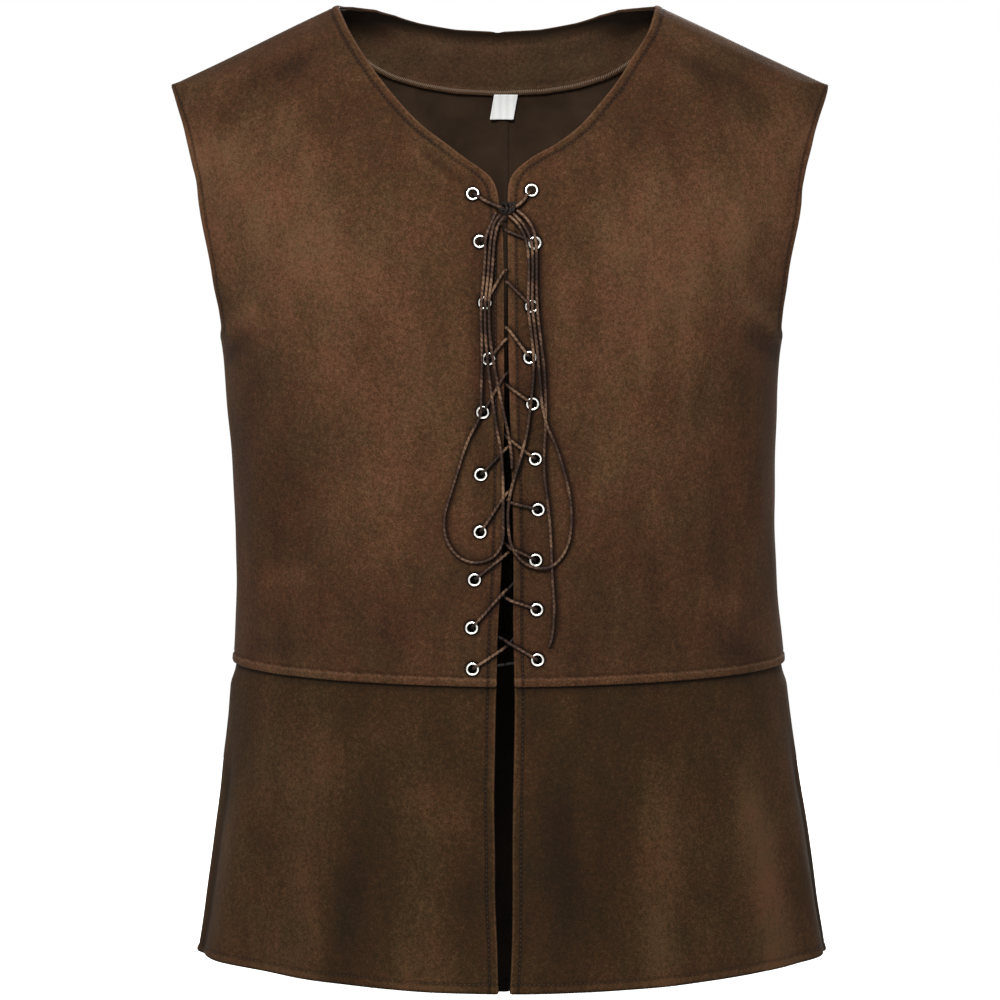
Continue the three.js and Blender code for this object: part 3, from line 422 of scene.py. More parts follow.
def smooth_path(points, steps=14, power=0.5):
    """A curve through points, whose knots are spaced by distance to a power."""
    whole = np.vstack([2 * points[0] - points[1], points, 2 * points[-1] - points[-2]])
    out = []
    for a, b, c, d in zip(whole, whole[1:], whole[2:], whole[3:]):
        k0 = 0.0
        k1 = k0 + np.linalg.norm(b - a) ** power
        k2 = k1 + np.linalg.norm(c - b) ** power
        k3 = k2 + np.linalg.norm(d - c) ** power
        t = np.linspace(k1, k2, steps, endpoint=False)[:, None]
        ab = (k1 - t) / (k1 - k0) * a + (t - k0) / (k1 - k0) * b
        bc = (k2 - t) / (k2 - k1) * b + (t - k1) / (k2 - k1) * c
        cd = (k3 - t) / (k3 - k2) * c + (t - k2) / (k3 - k2) * d
        abc = (k2 - t) / (k2 - k0) * ab + (t - k0) / (k2 - k0) * bc
        bcd = (k3 - t) / (k3 - k1) * bc + (t - k1) / (k3 - k1) * cd
        out.append((k2 - t) / (k2 - k1) * abc + (t - k1) / (k2 - k1) * bcd)
    return np.vstack([*out, points[-1:]])


TUBE_SIDES = 10


def tube(path, radius, pitch=1.3):
    """Corners, faces and the distance along of a nearly round tube with domed ends."""
    sides = TUBE_SIDES
    line, along = even(path, pitch)
    tangent = np.gradient(line, axis=0)
    tangent /= np.linalg.norm(tangent, axis=1, keepdims=True)
    side = np.cross(tangent[0], [0.3, 0.5, 0.8])
    rings, size = [], np.full(len(line), float(radius))
    size[[0, -1]] *= 0.72
    turns = np.arange(sides) * 2 * math.pi / sides
    for centre, way, r, s in zip(line, tangent, size, along):
        side = side - way * side.dot(way)
        side /= np.linalg.norm(side)
        up = np.cross(way, side)
        wave = 1 + LACE_TWIST * np.cos(2 * (turns - s * 2 * math.pi / SPIRAL_PITCH / 2))
        rings.append(centre + r * wave[:, None] * (np.cos(turns)[:, None] * side
                                                   + np.sin(turns)[:, None] * up))
    count = len(rings)
    points = np.vstack([*rings, line[0] - tangent[0] * 0.35 * radius, line[-1] + tangent[-1] * 0.35 * radius])
    i, j = np.meshgrid(np.arange(count - 1), np.arange(sides), indexing="ij")
    k = (j + 1) % sides
    quads = np.stack([i * sides + j, i * sides + k, (i + 1) * sides + k, (i + 1) * sides + j], -1)
    start, end = count * sides, count * sides + 1
    caps = [(start, (n + 1) % sides, n) for n in range(sides)]
    caps += [(end, start - sides + n, start - sides + (n + 1) % sides) for n in range(sides)]
    reach = np.concatenate([np.repeat(along, sides) + np.tile(turns, count) / (2 * math.pi) * SPIRAL_PITCH,
                            [along[0], along[-1]]])
    return points, [tuple(q) for q in quads.reshape(-1, 4)] + caps, reach, line


laid_strands = []


def lay_lace(name, path, replaces):
    """One length of lace along a path. Its line is kept, because it shades the cloth below it."""
    points, faces, reach, line = tube(path, LACE_DIAMETER / 2)
    laid_strands.append(line)
    piece = make(name, points, faces, [lace_suede], replaces)
    store(piece, "along", reach)
    return piece, line


# %% Lay the loops and the free ends
for name, route, far_end in (("loop_right", LOOP_RIGHT, "object"), ("loop_left", LOOP_LEFT, "object"),
                             ("lace_end_right", END_RIGHT, "bare"), ("lace_end_left", END_LEFT, "bare")):
    route_points = front_point(route["x"], route["z"], route["lift"])
    piece, line = lay_lace(f"{name}_cord", smooth_path(route_points), [name])
    length = np.linalg.norm(np.diff(line, axis=0), axis=1).sum()
    print(f"{name}: {length:.0f} mm of lace")

# %% [markdown]
# ## The lacing through the eyelets
# From behind the lowest pair of eyelets the lace goes up in two halves. Each half comes out through an
# eyelet, runs in between the two fronts, passes behind the other front and comes out through the next
# eyelet up there. The stations near an eyelet and at the dive between the fronts are short tables, so
# all ten pairs are laced alike, while each pair has its own place and each strand its own angle. Little
# light reaches the lace behind a front or beside an eyelet's rim, so its colour is darkened there.

# %% Sizes of the lacing
FRONT_EDGE = table("z right left", [
    (0, 118, 114), (-2, 117.5, 113.4), (-5, 116.2, 112.3), (-10, 113.8, 110.7), (-22, 107.8, 106.2),
    (-40, 96.5, 94.9), (-58, 83.8, 83.6), (-75, 69.8, 69.9), (-90, 54.8, 56.3), (-103, 37.6, 39.5),
    (-113, 24.6, 22), (-122, 11.5, 11), (-129, 5, 6.9), (-136, 2.4, 6), (-150, 0.6, 5.8),
    (-170, -1.8, 6), (-240, -2.3, 6.4), (-290, -2.3, 7.5), (-330, -1.9, 8.8), (-370, -1.2, 9.8),
    (-408, 0, 10.2), (-443, 2, 10), (-492, 3.4, 11), (-530, 4.1, 10.5), (-565, 4.7, 9.8),
    (-600, 4.2, 9.4), (-635, 4, 9.5), (-668, 2.6, 9), (-700, 1.8, 7.6),
])
EYELETS = table("right_x right_z left_x left_z", [
    (-19, -138, 22, -135.5), (-14, -171, 24.2, -172), (-10.5, -213.5, 22, -216),
    (-8, -252.5, 20.8, -251.5), (-12, -290, 22.8, -284), (-13.5, -334, 24.8, -323),
    (-14, -375, 26.8, -359), (-18, -409, 25.2, -395), (-20, -443, 25.9, -430),
    (-19.4, -472, 26.5, -465.5),
])
CROSSINGS = table("from_right from_left", [
    (-157, -163), (-191, -199), (-239, -231), (-263, -271), (-315, -308),
    (-347, -352.5), (-390, -385), (-416, -422), (-456.5, -452),
])
EYELET_APPROACH = table("distance lift", [
    (8, -4.4), (3.6, -4.6), (1, -3.1),
])
EYELET_CENTRE_LIFT = -2.0
EYELET_DEPARTURE = table("distance lift", [
    (1.5, 1.0), (3.3, 2.8), (6.4, 2.1),
])
DIVE = table("across rise lift", [
    (-1.6, -1, 2.1), (-0.3, 0, 0.3), (0.3, 0, -1.9), (1.6, 1, -3.8),
])
BAR_LIFT = -4.4
KNOT = {"x": 4.5, "z": -148.6, "lift": 5.2, "half_width": 6.4}
KNOT_ENTRY = {"beside": 1.1, "above": 1.6, "lift": 4.6, "bow": 1, "bow_lift": 3.4}
SIDES = {"right": -1, "left": 1}
SHADE_BEHIND, BEHIND_FROM, BEHIND_TO = 0.9, -0.5, 2.5
SHADE_AT_EYELET, SHADE_AT_EYELET_REACH = 0.85, 5


# %% Follow one half of the lace
def eyelet_at(side, row):
    return EYELETS[f"{side}_x"][row], EYELETS[f"{side}_z"][row]


def gap_centre(z):
    return (track(FRONT_EDGE, "left", z) - track(FRONT_EDGE, "right", z)) / 2


def through_eyelet(eyelet, coming_from, going_to):
    def step(other, distance):
        way = np.subtract(other, eyelet)
        return np.array(eyelet) + way * distance / np.hypot(*way)

    before = [front_point(*step(coming_from, d), lift) for d, lift in zip(*EYELET_APPROACH.values())]
    after = [front_point(*step(going_to, d), lift) for d, lift in zip(*EYELET_DEPARTURE.values())]
    return [*before, front_point(*eyelet, EYELET_CENTRE_LIFT), *after]


def lacing_half(start):
    last = len(EYELETS["right_x"]) - 1
    bar = np.mean([eyelet_at("right", last), eyelet_at("left", last)], axis=0)
    points = [front_point(bar[0] + SIDES[start] * GAP / 2, bar[1], BAR_LIFT)]
    side, coming_from = start, bar
    for row in range(last, 0, -1):
        eyelet = eyelet_at(side, row)
        dive_z = CROSSINGS[f"from_{side}"][row - 1]
        dive = (gap_centre(dive_z), dive_z)
        towards = np.sign(dive[0] - eyelet[0])
        points += through_eyelet(eyelet, coming_from, dive)
        points += [front_point(dive[0] + across * towards, dive[1] + rise, lift)
                   for across, rise, lift in zip(*DIVE.values())]
        coming_from, side = dive, "left" if side == "right" else "right"
    top = eyelet_at(side, 0)
    knot_side = (KNOT["x"] + SIDES[side] * (KNOT["half_width"] + KNOT_ENTRY["beside"]),
                 KNOT["z"] + KNOT_ENTRY["above"])
    points += through_eyelet(top, coming_from, knot_side)
    points.append(front_point((top[0] + knot_side[0]) / 2 + SIDES[side] * KNOT_ENTRY["bow"],
                              (top[1] + knot_side[1]) / 2, KNOT_ENTRY["bow_lift"]))
    points.append(front_point(*knot_side, KNOT_ENTRY["lift"]))
    inside = front_point(KNOT["x"] + SIDES[side] * 3, KNOT["z"], KNOT["lift"])
    return smooth_path(np.array([*points, inside]), steps=8)


for start in SIDES:
    piece, line = lay_lace(f"lacing_half_{start}", lacing_half(start), [f"lacing_from_{start}"])
    places = np.array([vertex.co for vertex in piece.data.vertices]) / MM
    eyelets = np.array([eyelet_at(side, row) for side in SIDES for row in range(len(EYELETS["right_x"]))])
    from_eyelet = np.linalg.norm(places[:, None, ::2] - eyelets[None], axis=2).min(1)
    behind = smoothstep(places[:, 1] - front_point(places[:, 0], places[:, 2], 0)[:, 1],
                        BEHIND_FROM, BEHIND_TO)
    at_eyelet = np.exp(-(from_eyelet / SHADE_AT_EYELET_REACH) ** 2)
    in_shade = np.maximum(SHADE_BEHIND * behind, SHADE_AT_EYELET * at_eyelet)
    store(piece, "in_shade", in_shade)

# %% [markdown]
# ## The knot of the bow
# A bow is tied with a half knot, two loops and one strand that wraps round their middle. What shows is
# a small tight bundle: two turns across it and the bights of the loops under them. Short closed paths
# of the same lace, a little flattened by the pull, make the turns. The knot's lace is painted near
# black, as painted shade for the deep shadows between its tight turns.

# %% Tie the knot
KNOT_TURNS = table("x z across up tilt bulge", [
    (-2.3, -0.4, 2.5, 3.4, 18, 2.4), (0.4, -0.6, 2.5, 3.7, 6, 2.9), (2.9, 0.1, 2.4, 3.3, -14, 2.3),
    (0.2, 0.6, 5.6, 2.1, 4, 1.6),
])
knot_points, knot_faces, knot_reach, start = [], [], [], 0
for x, z, across, up, tilt, bulge in zip(*KNOT_TURNS.values()):
    turn = np.linspace(0, 2 * math.pi, 40)
    lean = math.radians(tilt)
    flat_x, flat_z = across * np.cos(turn), up * np.sin(turn)
    path = front_point(KNOT["x"] + x + flat_x * math.cos(lean) - flat_z * math.sin(lean),
                       KNOT["z"] + z + flat_x * math.sin(lean) + flat_z * math.cos(lean),
                       KNOT["lift"] + bulge * np.cos(turn + 0.4))
    points, faces, reach, _ = tube(path, LACE_DIAMETER / 2, pitch=0.9)
    knot_points.append(points)
    knot_faces += [tuple(v + start for v in face) for face in faces]
    knot_reach.append(reach)
    start += len(points)
# Painted shade: the knot takes a near black copy of the lace, for the shadows between its turns.
knot_lace_painted_shade = lace_material("faux_suede_lace_painted_shade_knot", "#050302", "#0b0705", "#1a120d")
knot = make("knot_turns", np.vstack(knot_points), knot_faces, [knot_lace_painted_shade], ["knot"])
store(knot, "along", np.concatenate(knot_reach))

# %% [markdown]
# ## Suede and its knit back
# Faux suede is a fabric of very fine fibres, sanded until it has a short nap. It has no gloss: light
# comes back from the tips of the fibres, strongest at a glancing angle, which is what the sheen layer
# does. Wherever the nap has been brushed another way the colour turns, so the brown goes between a
# reddish and an olive tone in patches of a hand's width down to a grain of rice. Four sizes of noise
# give that. The two largest are drawn out downwards, as a hanging garment is brushed, and the others
# also lift the surface as fibre clumps do. The clumps are drawn several times coarser than the real
# ones, because those are too fine to show. The stored tone holds painted light and shade with some
# uneven tone; where it is far below zero, in grooves, at eyelets and under the lace, the colour is
# darkened once more as painted shade. The knit back shows only inside, and it is darkened downwards,
# where little light gets into the hollow.

# %% Suede material
NAP_PATCH, NAP_BLOT, NAP_GRAIN, NAP_FIBRE = 105, 24, 3.2, 1.2  # millimetres across
PATCH_TALL, BLOT_TALL = 1.6, 2.4  # how many times taller than wide
PATCH_WEIGHT, BLOT_WEIGHT, GRAIN_WEIGHT, FIBRE_WEIGHT = 0.20, 0.28, 0.42, 0.60
TONE_SHIFT_WEIGHT, TONE_START = 0.36, -0.25
# Painted shade: where the stored tone falls far below zero, the colour is multiplied darker.
DEEP_SHADE_AT, SHADE_FROM, DEEP_SHADE_TONE = -1.4, -0.35, 0.2
RED_TURN, OLIVE_TURN = "#fff0ea", "#eaf0e2"
SUEDE_SHEEN = 0.03


def suede(name, dark, middle, light):
    """A brushed suede whose tone follows four sizes of noise and the stored tone, which carries painted light
    and shade.
    """
    material = new_material(name)
    place = add(material, "ShaderNodeTexCoord").outputs["Object"]
    # The stored tone: painted light and shade, with some uneven tone.
    tone_shift = add(material, "ShaderNodeAttribute", attribute_name="tone_shift").outputs["Fac"]

    def noise(size, detail, rough=0.55, offset=0.0, tall=1.0):
        moved = add(material, "ShaderNodeVectorMath", {1: (1, 1, 1 / tall), 2: (offset, offset, offset)},
                    {0: place}, operation="MULTIPLY_ADD")
        return add(material, "ShaderNodeTexNoise",
                   {"Scale": 1 / (size * MM), "Detail": detail, "Roughness": rough},
                   {"Vector": moved.outputs[0]}).outputs["Fac"]

    patch, blot = noise(NAP_PATCH, 2.0, tall=PATCH_TALL), noise(NAP_BLOT, 3.0, 0.6, 3.1, BLOT_TALL)
    grains, fibre = noise(NAP_GRAIN, 3.0, 0.7, 7.7), noise(NAP_FIBRE, 2.0, 0.7, 1.9)

    def weighted(value, weight, onto):
        return add(material, "ShaderNodeMath", {1: weight}, {0: value, 2: onto},
                   operation="MULTIPLY_ADD").outputs[0]

    light_shade_and_tone = add(material, "ShaderNodeMath", {1: TONE_SHIFT_WEIGHT, 2: TONE_START}, {0: tone_shift},
               operation="MULTIPLY_ADD").outputs[0]
    fine_tone = weighted(grains, GRAIN_WEIGHT, weighted(fibre, FIBRE_WEIGHT, light_shade_and_tone))
    tone = weighted(patch, PATCH_WEIGHT, weighted(blot, BLOT_WEIGHT, fine_tone))
    brown = add(material, "ShaderNodeValToRGB", links={"Fac": tone},
                stops=[(0.28, linear(dark)), (0.50, linear(middle)), (0.74, linear(light))])
    fine_way = add(material, "ShaderNodeMath", {1: 0.45}, {0: noise(NAP_GRAIN * 0.8, 2.0, 0.6, 5.3)},
                   operation="MULTIPLY").outputs[0]
    way = weighted(noise(NAP_BLOT * 1.7, 3.0, 0.65, 12.3), 0.55, fine_way)
    turn = add(material, "ShaderNodeValToRGB", links={"Fac": way},
               stops=[(0.42, linear(OLIVE_TURN)), (0.58, linear(RED_TURN))])
    colour = add(material, "ShaderNodeMix", {0: 1.0}, {6: brown.outputs[0], 7: turn.outputs[0]},
                 data_type="RGBA", blend_type="MULTIPLY")
    # Painted shade in grooves, at eyelets and under the lace.
    hollow = add(material, "ShaderNodeMapRange",
                 {1: DEEP_SHADE_AT, 2: SHADE_FROM, 3: DEEP_SHADE_TONE, 4: 1.0}, {0: tone_shift})
    colour = add(material, "ShaderNodeMix", {0: 1.0}, {6: colour.outputs[2], 7: hollow.outputs[0]},
                 data_type="RGBA", blend_type="MULTIPLY")
    height = weighted(grains, 0.6, weighted(fibre, 0.4, patch))
    bump = add(material, "ShaderNodeBump", {"Strength": 0.4, "Distance": 0.6 * MM}, {"Height": height})
    return finish_with(material, add(
        material, "ShaderNodeBsdfPrincipled",
        {"Roughness": 0.95, "Specular IOR Level": 0.06, "Sheen Weight": SUEDE_SHEEN, "Sheen Roughness": 0.5,
         "Sheen Tint": linear("#9a7657")},
        {"Base Color": colour.outputs[2], "Normal": bump.outputs["Normal"]}))


body_suede = suede("brown_faux_suede", "#1b0f08", "#2c1c10", "#442f21")
# The skirt takes a darker copy of the same suede, as painted shade for the skirt, which hangs further from
# the lamp.
skirt_suede_painted_shade = suede("brown_faux_suede_skirt_painted_shade", "#150d06", "#211509", "#362517")
# The facing takes a lighter copy of the same suede, as painted light for the hollow of the back neck, where
# little lamp light reaches.
facing_suede_painted_light = suede("brown_faux_suede_facing_painted_light", "#241910", "#37281c", "#4b392a")

# %% Knit back of the suede
KNIT_LOOP = 1.6  # millimetres; the real loops are half that and would not show
DARK_BELOW, LIGHT_ABOVE = -0.22, -0.11  # metres, where the hollow is darkest and where it starts

knit_back = new_material("knit_back_of_suede")
place = add(knit_back, "ShaderNodeTexCoord").outputs["Object"]
ribs = add(knit_back, "ShaderNodeTexWave", {"Scale": 1000 / KNIT_LOOP / 20, "Distortion": 1.2,
                                            "Detail": 1.0, "Detail Scale": 2.0},
           {"Vector": place}, wave_type="BANDS", bands_direction="Z")
mottle = add(knit_back, "ShaderNodeTexNoise", {"Scale": 1000 / 30, "Detail": 3.0}, {"Vector": place})
back_colour = add(knit_back, "ShaderNodeValToRGB", links={"Fac": mottle.outputs["Fac"]},
                  stops=[(0.3, linear("#1b120b")), (0.7, linear("#291e15"))])
depth = add(knit_back, "ShaderNodeMapRange", {1: DARK_BELOW, 2: LIGHT_ABOVE, 3: 0.2, 4: 1.0},
            {0: add(knit_back, "ShaderNodeSeparateXYZ", links={0: place}).outputs["Z"]})
back_colour = add(knit_back, "ShaderNodeMix", {0: 1.0},
                  {6: back_colour.outputs["Color"], 7: depth.outputs[0]},
                  data_type="RGBA", blend_type="MULTIPLY")
back_bump = add(knit_back, "ShaderNodeBump", {"Strength": 0.25, "Distance": 0.2 * MM},
                {"Height": ribs.outputs["Fac"]})
finish_with(knit_back, add(
    knit_back, "ShaderNodeBsdfPrincipled",
    {"Roughness": 0.95, "Specular IOR Level": 0.05, "Sheen Weight": 0.02},
    {"Base Color": back_colour.outputs[2], "Normal": back_bump.outputs["Normal"]}))

# %% [markdown]
# ## Laying a cut piece on the form
# A cut piece is a grid: rows from the shoulder down, columns from its inner to its outer edge. The
# grid is crowded where an edge is turned under and stitched, so that the fold, the groove along the
# stitches and the puckers between them are real shape. Each corner's distance from the edges is kept,
# because everything that sewing does to cloth depends on it. The finished outer face gets an inner
# face one wall behind it and a rounded rim, so the piece is one closed wall like the real cloth.

# %% Rows and columns that crowd at the edges
FINE, COARSE = 0.9, 3.6
EDGE_REACH = 10.8
MEASURING_ROWS, MEASURING_COLUMNS = 1500, 140


def graded(length, start, end):
    """Stations along a length, close together within reach of either end."""
    head = np.arange(0, start, FINE)
    tail = length - np.arange(0, end, FINE)[::-1]
    count = max(2, round((length - start - end) / COARSE))
    return np.concatenate([head, np.linspace(start, length - end, count + 1), tail])


def steps_of(points, axis=0):
    return np.linalg.norm(np.diff(points, axis=axis), axis=-1)


def lay_out(place, last, top_reach=3.6, bottom_reach=EDGE_REACH, reach=(EDGE_REACH, EDGE_REACH)):
    """A grid over place(row, share), with each corner's distance from the four edges."""
    fine_rows = np.linspace(0, last, MEASURING_ROWS)
    ends = [form_point(*place(fine_rows, np.full(MEASURING_ROWS, share))[:2]) for share in (0.0, 1.0)]
    length = np.concatenate([[0], np.cumsum(np.maximum(steps_of(ends[0]), steps_of(ends[1])))])
    stations = graded(length[-1], top_reach, bottom_reach)
    rows = np.interp(stations, length, fine_rows)[:, None]
    share = np.linspace(0, 1, MEASURING_COLUMNS)[None, :]
    across = form_point(*place(rows, share)[:2])
    run = np.concatenate([np.zeros((len(rows), 1)), np.cumsum(steps_of(across, 1), 1)], 1)
    slant = []
    for edge, inward in ((across[:, 0], across[:, 1] - across[:, 0]),
                         (across[:, -1], across[:, -2] - across[:, -1])):
        along = np.gradient(edge, axis=0)
        sine = np.linalg.norm(np.cross(along, inward), axis=1)
        sine = sine / np.linalg.norm(along, axis=1) / np.linalg.norm(inward, axis=1)
        slant.append(np.clip(np.convolve(np.pad(sine, 4, "edge"), np.full(9, 1 / 9), "valid"), 0.35, 1))
    count = round((run[:, -1].max() - sum(reach)) / COARSE)
    head, tail = np.arange(0, reach[0], FINE), np.arange(0, reach[1], FINE)[::-1]
    shares, from_inner, from_outer = [], [], []
    for i, whole in enumerate(run[:, -1]):
        start, end = reach[0] / slant[0][i], reach[1] / slant[1][i]
        spots = np.concatenate([head / slant[0][i], np.linspace(start, whole - end, count + 1),
                                whole - tail / slant[1][i]])
        shares.append(np.interp(spots, run[i], share[0]))
        from_inner.append(spots * slant[0][i])
        from_outer.append((whole - spots) * slant[1][i])
    shares = np.array(shares)
    angle, z, lift = np.broadcast_arrays(*place(rows, shares))
    return {"angle": angle, "z": z, "lift": lift.astype(float), "inner": np.array(from_inner),
            "outer": np.array(from_outer), "top": np.broadcast_to(stations[:, None], shares.shape),
            "bottom": np.broadcast_to(length[-1] - stations[:, None], shares.shape),
            "along": stations[:, None] + 0 * shares, "across": run[:, -1:] * shares}


# %% What sewing does to cloth
STITCH_IN = 5.4  # from a turned edge to its topstitching
TURN_RAISE = 0.5
SEAM_DIP = 1.2
BAND_RAISE = 0.8
BAND_WIDTH = 5.4


def turned_edge(distance, along, stitch_in=STITCH_IN):
    """Doubled cloth rolls over at the edge, dips at the stitches and puckers between them."""
    body = TURN_RAISE * (1 - smoothstep(distance, stitch_in, stitch_in + 2.7))
    roll = -0.5 * np.exp(-(distance / 0.9) ** 2)
    groove = -0.65 * np.exp(-((distance - stitch_in) / 1.0) ** 2)
    pucker = 0.13 * np.sin(along / 1.9 + 1.3 * np.sin(along / 13)) * np.sin(along / 37)
    return body + roll + groove + pucker * np.exp(-((distance - stitch_in) / 3.5) ** 2)


def sewn_seam(distance):
    """Both sides turn in to a seam, over the soft ridge of the allowance behind it."""
    return 0.25 * np.exp(-((distance - 6) / 3.5) ** 2) - SEAM_DIP * np.exp(-(distance / 1.5) ** 2)


def edge_highlight_and_groove_shade(distance):
    """Painted highlight along the roll of a turned edge, and painted shade in the groove of its stitches."""
    return (0.6 * np.exp(-(distance / 0.8) ** 2) + 0.1 * np.exp(-(distance / 4) ** 2)
            - 0.75 * np.exp(-((distance - STITCH_IN) / 1.0) ** 2))


# Painted shade in the groove of a seam.
def seam_groove_shade(distance):
    return -0.6 * np.exp(-(distance / 1.6) ** 2)


def ragged(along):
    """The upper side of the waist band wanders by half a millimetre as the stitches pull it."""
    return 0.3 * np.sin(along / 0.9 + 2 * np.sin(along / 5)) + 0.25 * np.sin(along / 2.7) * np.sin(along / 19)


def waist_band(distance, along):
    """The lapped edge of the bodice: a full roll with a stitched upper side."""
    distance = distance + ragged(along)
    roll = smoothstep(distance, -0.9, 1.6) * (1 - smoothstep(distance, BAND_WIDTH - 1, BAND_WIDTH + 0.9))
    uneven = 1 + 0.16 * np.sin(along / 2.1 + np.sin(along / 7)) + 0.1 * np.sin(along / 11)
    return BAND_RAISE * roll * uneven - 0.3 * np.exp(-((distance - BAND_WIDTH - 1.2) / 1.0) ** 2)


def band_highlight_and_shade(distance, along):
    """Painted highlight on the roll of the waist band, where the doubled edge catches the light, and a
    painted shade line in the groove above it.
    """
    distance = distance + ragged(along)
    return (0.2 * (1 - smoothstep(distance, BAND_WIDTH - 0.6, BAND_WIDTH + 0.8))
            + 0.5 * np.exp(-((distance - BAND_WIDTH + 0.9) / 0.7) ** 2)
            - 0.25 * np.exp(-((distance - BAND_WIDTH - 1.0) / 0.8) ** 2))


# %% Close a grid into a wall
RIM_STEPS = 3


def perimeter(height, width):
    """Corners round a grid, and the corner one step in from each."""
    top = [((0, j), (1, j)) for j in range(width - 1)]
    outer = [((i, width - 1), (i, width - 2)) for i in range(height - 1)]
    bottom = [((height - 1, j), (height - 2, j)) for j in range(width - 1, 0, -1)]
    inner = [((i, 0), (i, 1)) for i in range(height - 1, 0, -1)]
    return top + outer + bottom + inner


def closed_wall(front, back, bulge):
    """Corners and faces of a wall between two grids, and 1 for each face on the back."""
    height, width = front.shape[:2]
    number = np.arange(height * width).reshape(height, width)
    size = height * width
    a, b, c, d = (n.reshape(-1) for n in (number[:-1, :-1], number[1:, :-1], number[1:, 1:], number[:-1, 1:]))
    faces = [np.stack([a, b, c, d], -1), np.stack([a, d, c, b], -1) + size]
    points = [front.reshape(-1, 3), back.reshape(-1, 3)]
    rim = perimeter(height, width)
    edge, step_in = (np.array([pair[k] for pair in rim]) for k in (0, 1))
    ids = number[edge[:, 0], edge[:, 1]]
    outer, behind = front[edge[:, 0], edge[:, 1]], back[edge[:, 0], edge[:, 1]]
    away = outer - front[step_in[:, 0], step_in[:, 1]]
    thick = outer - behind
    wall = np.linalg.norm(thick, axis=1, keepdims=True)
    away -= thick * (away * thick).sum(1, keepdims=True) / wall ** 2
    away /= np.linalg.norm(away, axis=1, keepdims=True)
    swell = bulge[edge[:, 0], edge[:, 1]][:, None] * wall / 2
    rings = [ids]
    for k in range(1, RIM_STEPS + 1):
        turn = math.pi * k / (RIM_STEPS + 1)
        ring = (outer + behind) / 2 + thick / 2 * math.cos(turn) + away * swell * math.sin(turn)
        rings.append(2 * size + (k - 1) * len(rim) + np.arange(len(rim)))
        points.append(ring)
    rings.append(ids + size)
    for near, far in zip(rings, rings[1:]):
        faces.append(np.stack([near, np.roll(near, -1), np.roll(far, -1), far], -1))
    faces = np.vstack(faces)
    second = np.zeros(len(faces), int)
    second[len(a):2 * len(a)] = 1
    points = np.vstack(points)
    return points, outward(points, faces), second


# %% Make one cut piece of suede
# Broad patches of painted light and shade, with some uneven tone: lighter on the chest and upper back where
# the lamp falls, darker lower down, beside the lacing and at the opening of the skirt.
PAINTED_LIGHT_AND_TONE_PATCHES = table("angle z width height amount", [
    (-42, -165, 22, 75, 0.42), (38, -170, 24, 78, 0.36), (-62, -130, 16, 50, 0.15), (60, -120, 18, 60, 0.1),
    (-26, -92, 12, 34, -0.2), (30, -90, 12, 34, -0.2), (-37, -40, 12, 30, -0.15), (37, -40, 12, 30, -0.1),
    (-26, -435, 40, 60, -0.2), (30, -435, 40, 60, -0.2), (-10, -640, 10, 80, -0.4), (15, -600, 14, 90, -0.35),
    (-4, -260, 2.6, 120, -0.35), (7, -260, 2.6, 120, -0.35),
    (-56, -80, 16, 35, 0.15), (56, -80, 16, 35, 0.15),
    (-24, -330, 30, 90, 0.16), (34, -300, 30, 90, 0.10), (-58, -360, 14, 90, -0.18),
    (50, -350, 12, 90, -0.20),
    (-16, -440, 40, 40, 0.05), (70, -340, 16, 160, -0.25), (-76, -300, 14, 160, -0.22),
    (-40, -560, 22, 50, 0.16), (30, -600, 30, 60, 0.08), (-74, -640, 16, 90, 0.1),
    (150, -150, 50, 90, 0.22), (-150, -150, 50, 90, 0.2), (180, -380, 40, 90, 0.1),
    (120, -380, 20, 90, -0.15),
    (-120, -380, 20, 90, -0.15), (168, -600, 60, 60, 0.1),
    (-32, -685, 30, 40, 0.22), (36, -690, 26, 40, 0.12), (76, -400, 14, 120, 0.15),
])


CREASE_PAINTED_LIGHT = 0.3  # painted shade in the hollow of a crease and a painted highlight on its ridge


# Painted light and shade, with some uneven tone, from the table of patches.
def painted_light_and_tone_patches(angle, z):
    total = np.zeros(np.shape(angle))
    for middle, height, width, tall, amount in zip(*PAINTED_LIGHT_AND_TONE_PATCHES.values()):
        away = (np.degrees(angle) - middle + 180) % 360 - 180
        total += amount * np.exp(-(away / width) ** 2 - ((z - height) / tall) ** 2)
    return total


def suede_piece(name, grid, relief, tone_shift, bulge, shift, material, back_material=None,
                replaces=(), wall=WALL):
    """Lays a grid on the form with its relief, closes it into a wall and stores its tone: painted light and
    shade with some uneven tone.
    """
    angle, z = grid["angle"], grid["z"]
    creases = fold_lift(CREASES, angle, z)
    ripple = creases + drift(angle, z)
    lift = grid["lift"] + relief + ripple
    front = cloth_point(angle, z, lift) + shift
    back = cloth_point(angle, z, grid["lift"] + ripple - wall) + shift
    points, faces, second = closed_wall(front, back, bulge)
    piece = make(name, points, faces, [material, back_material or knit_back], replaces, second)
    # Painted light and shade from the sewing, the patches and the creases, added to the stored tone.
    light_shade_and_tone = (tone_shift + painted_light_and_tone_patches(angle, z) + CREASE_PAINTED_LIGHT * creases).reshape(-1)
    store(piece, "tone_shift", np.resize(light_shade_and_tone, len(points)))
    down, beside = front[1:, :-1] - front[:-1, :-1], front[:-1, 1:] - front[:-1, :-1]
    cells = np.linalg.norm(np.cross(down, beside), axis=-1)
    print(f"{name}: {cells.sum() / 1e6:.4f} square metres, {steps_of(front, 1).sum(1).max():.0f} by "
          f"{steps_of(front, 0).sum(0).max():.0f} mm")
    return piece, front, form_normal(angle, z)

# %% [markdown]
# ## The two fronts
# A front is one piece from the shoulder seam to the waist. Its inner edge is the neckline and then the
# edge of the opening, and its outer edge the armhole and then the side seam. The neckline, the
# opening and the armhole are turned under and stitched; the shoulder and the side are seams.

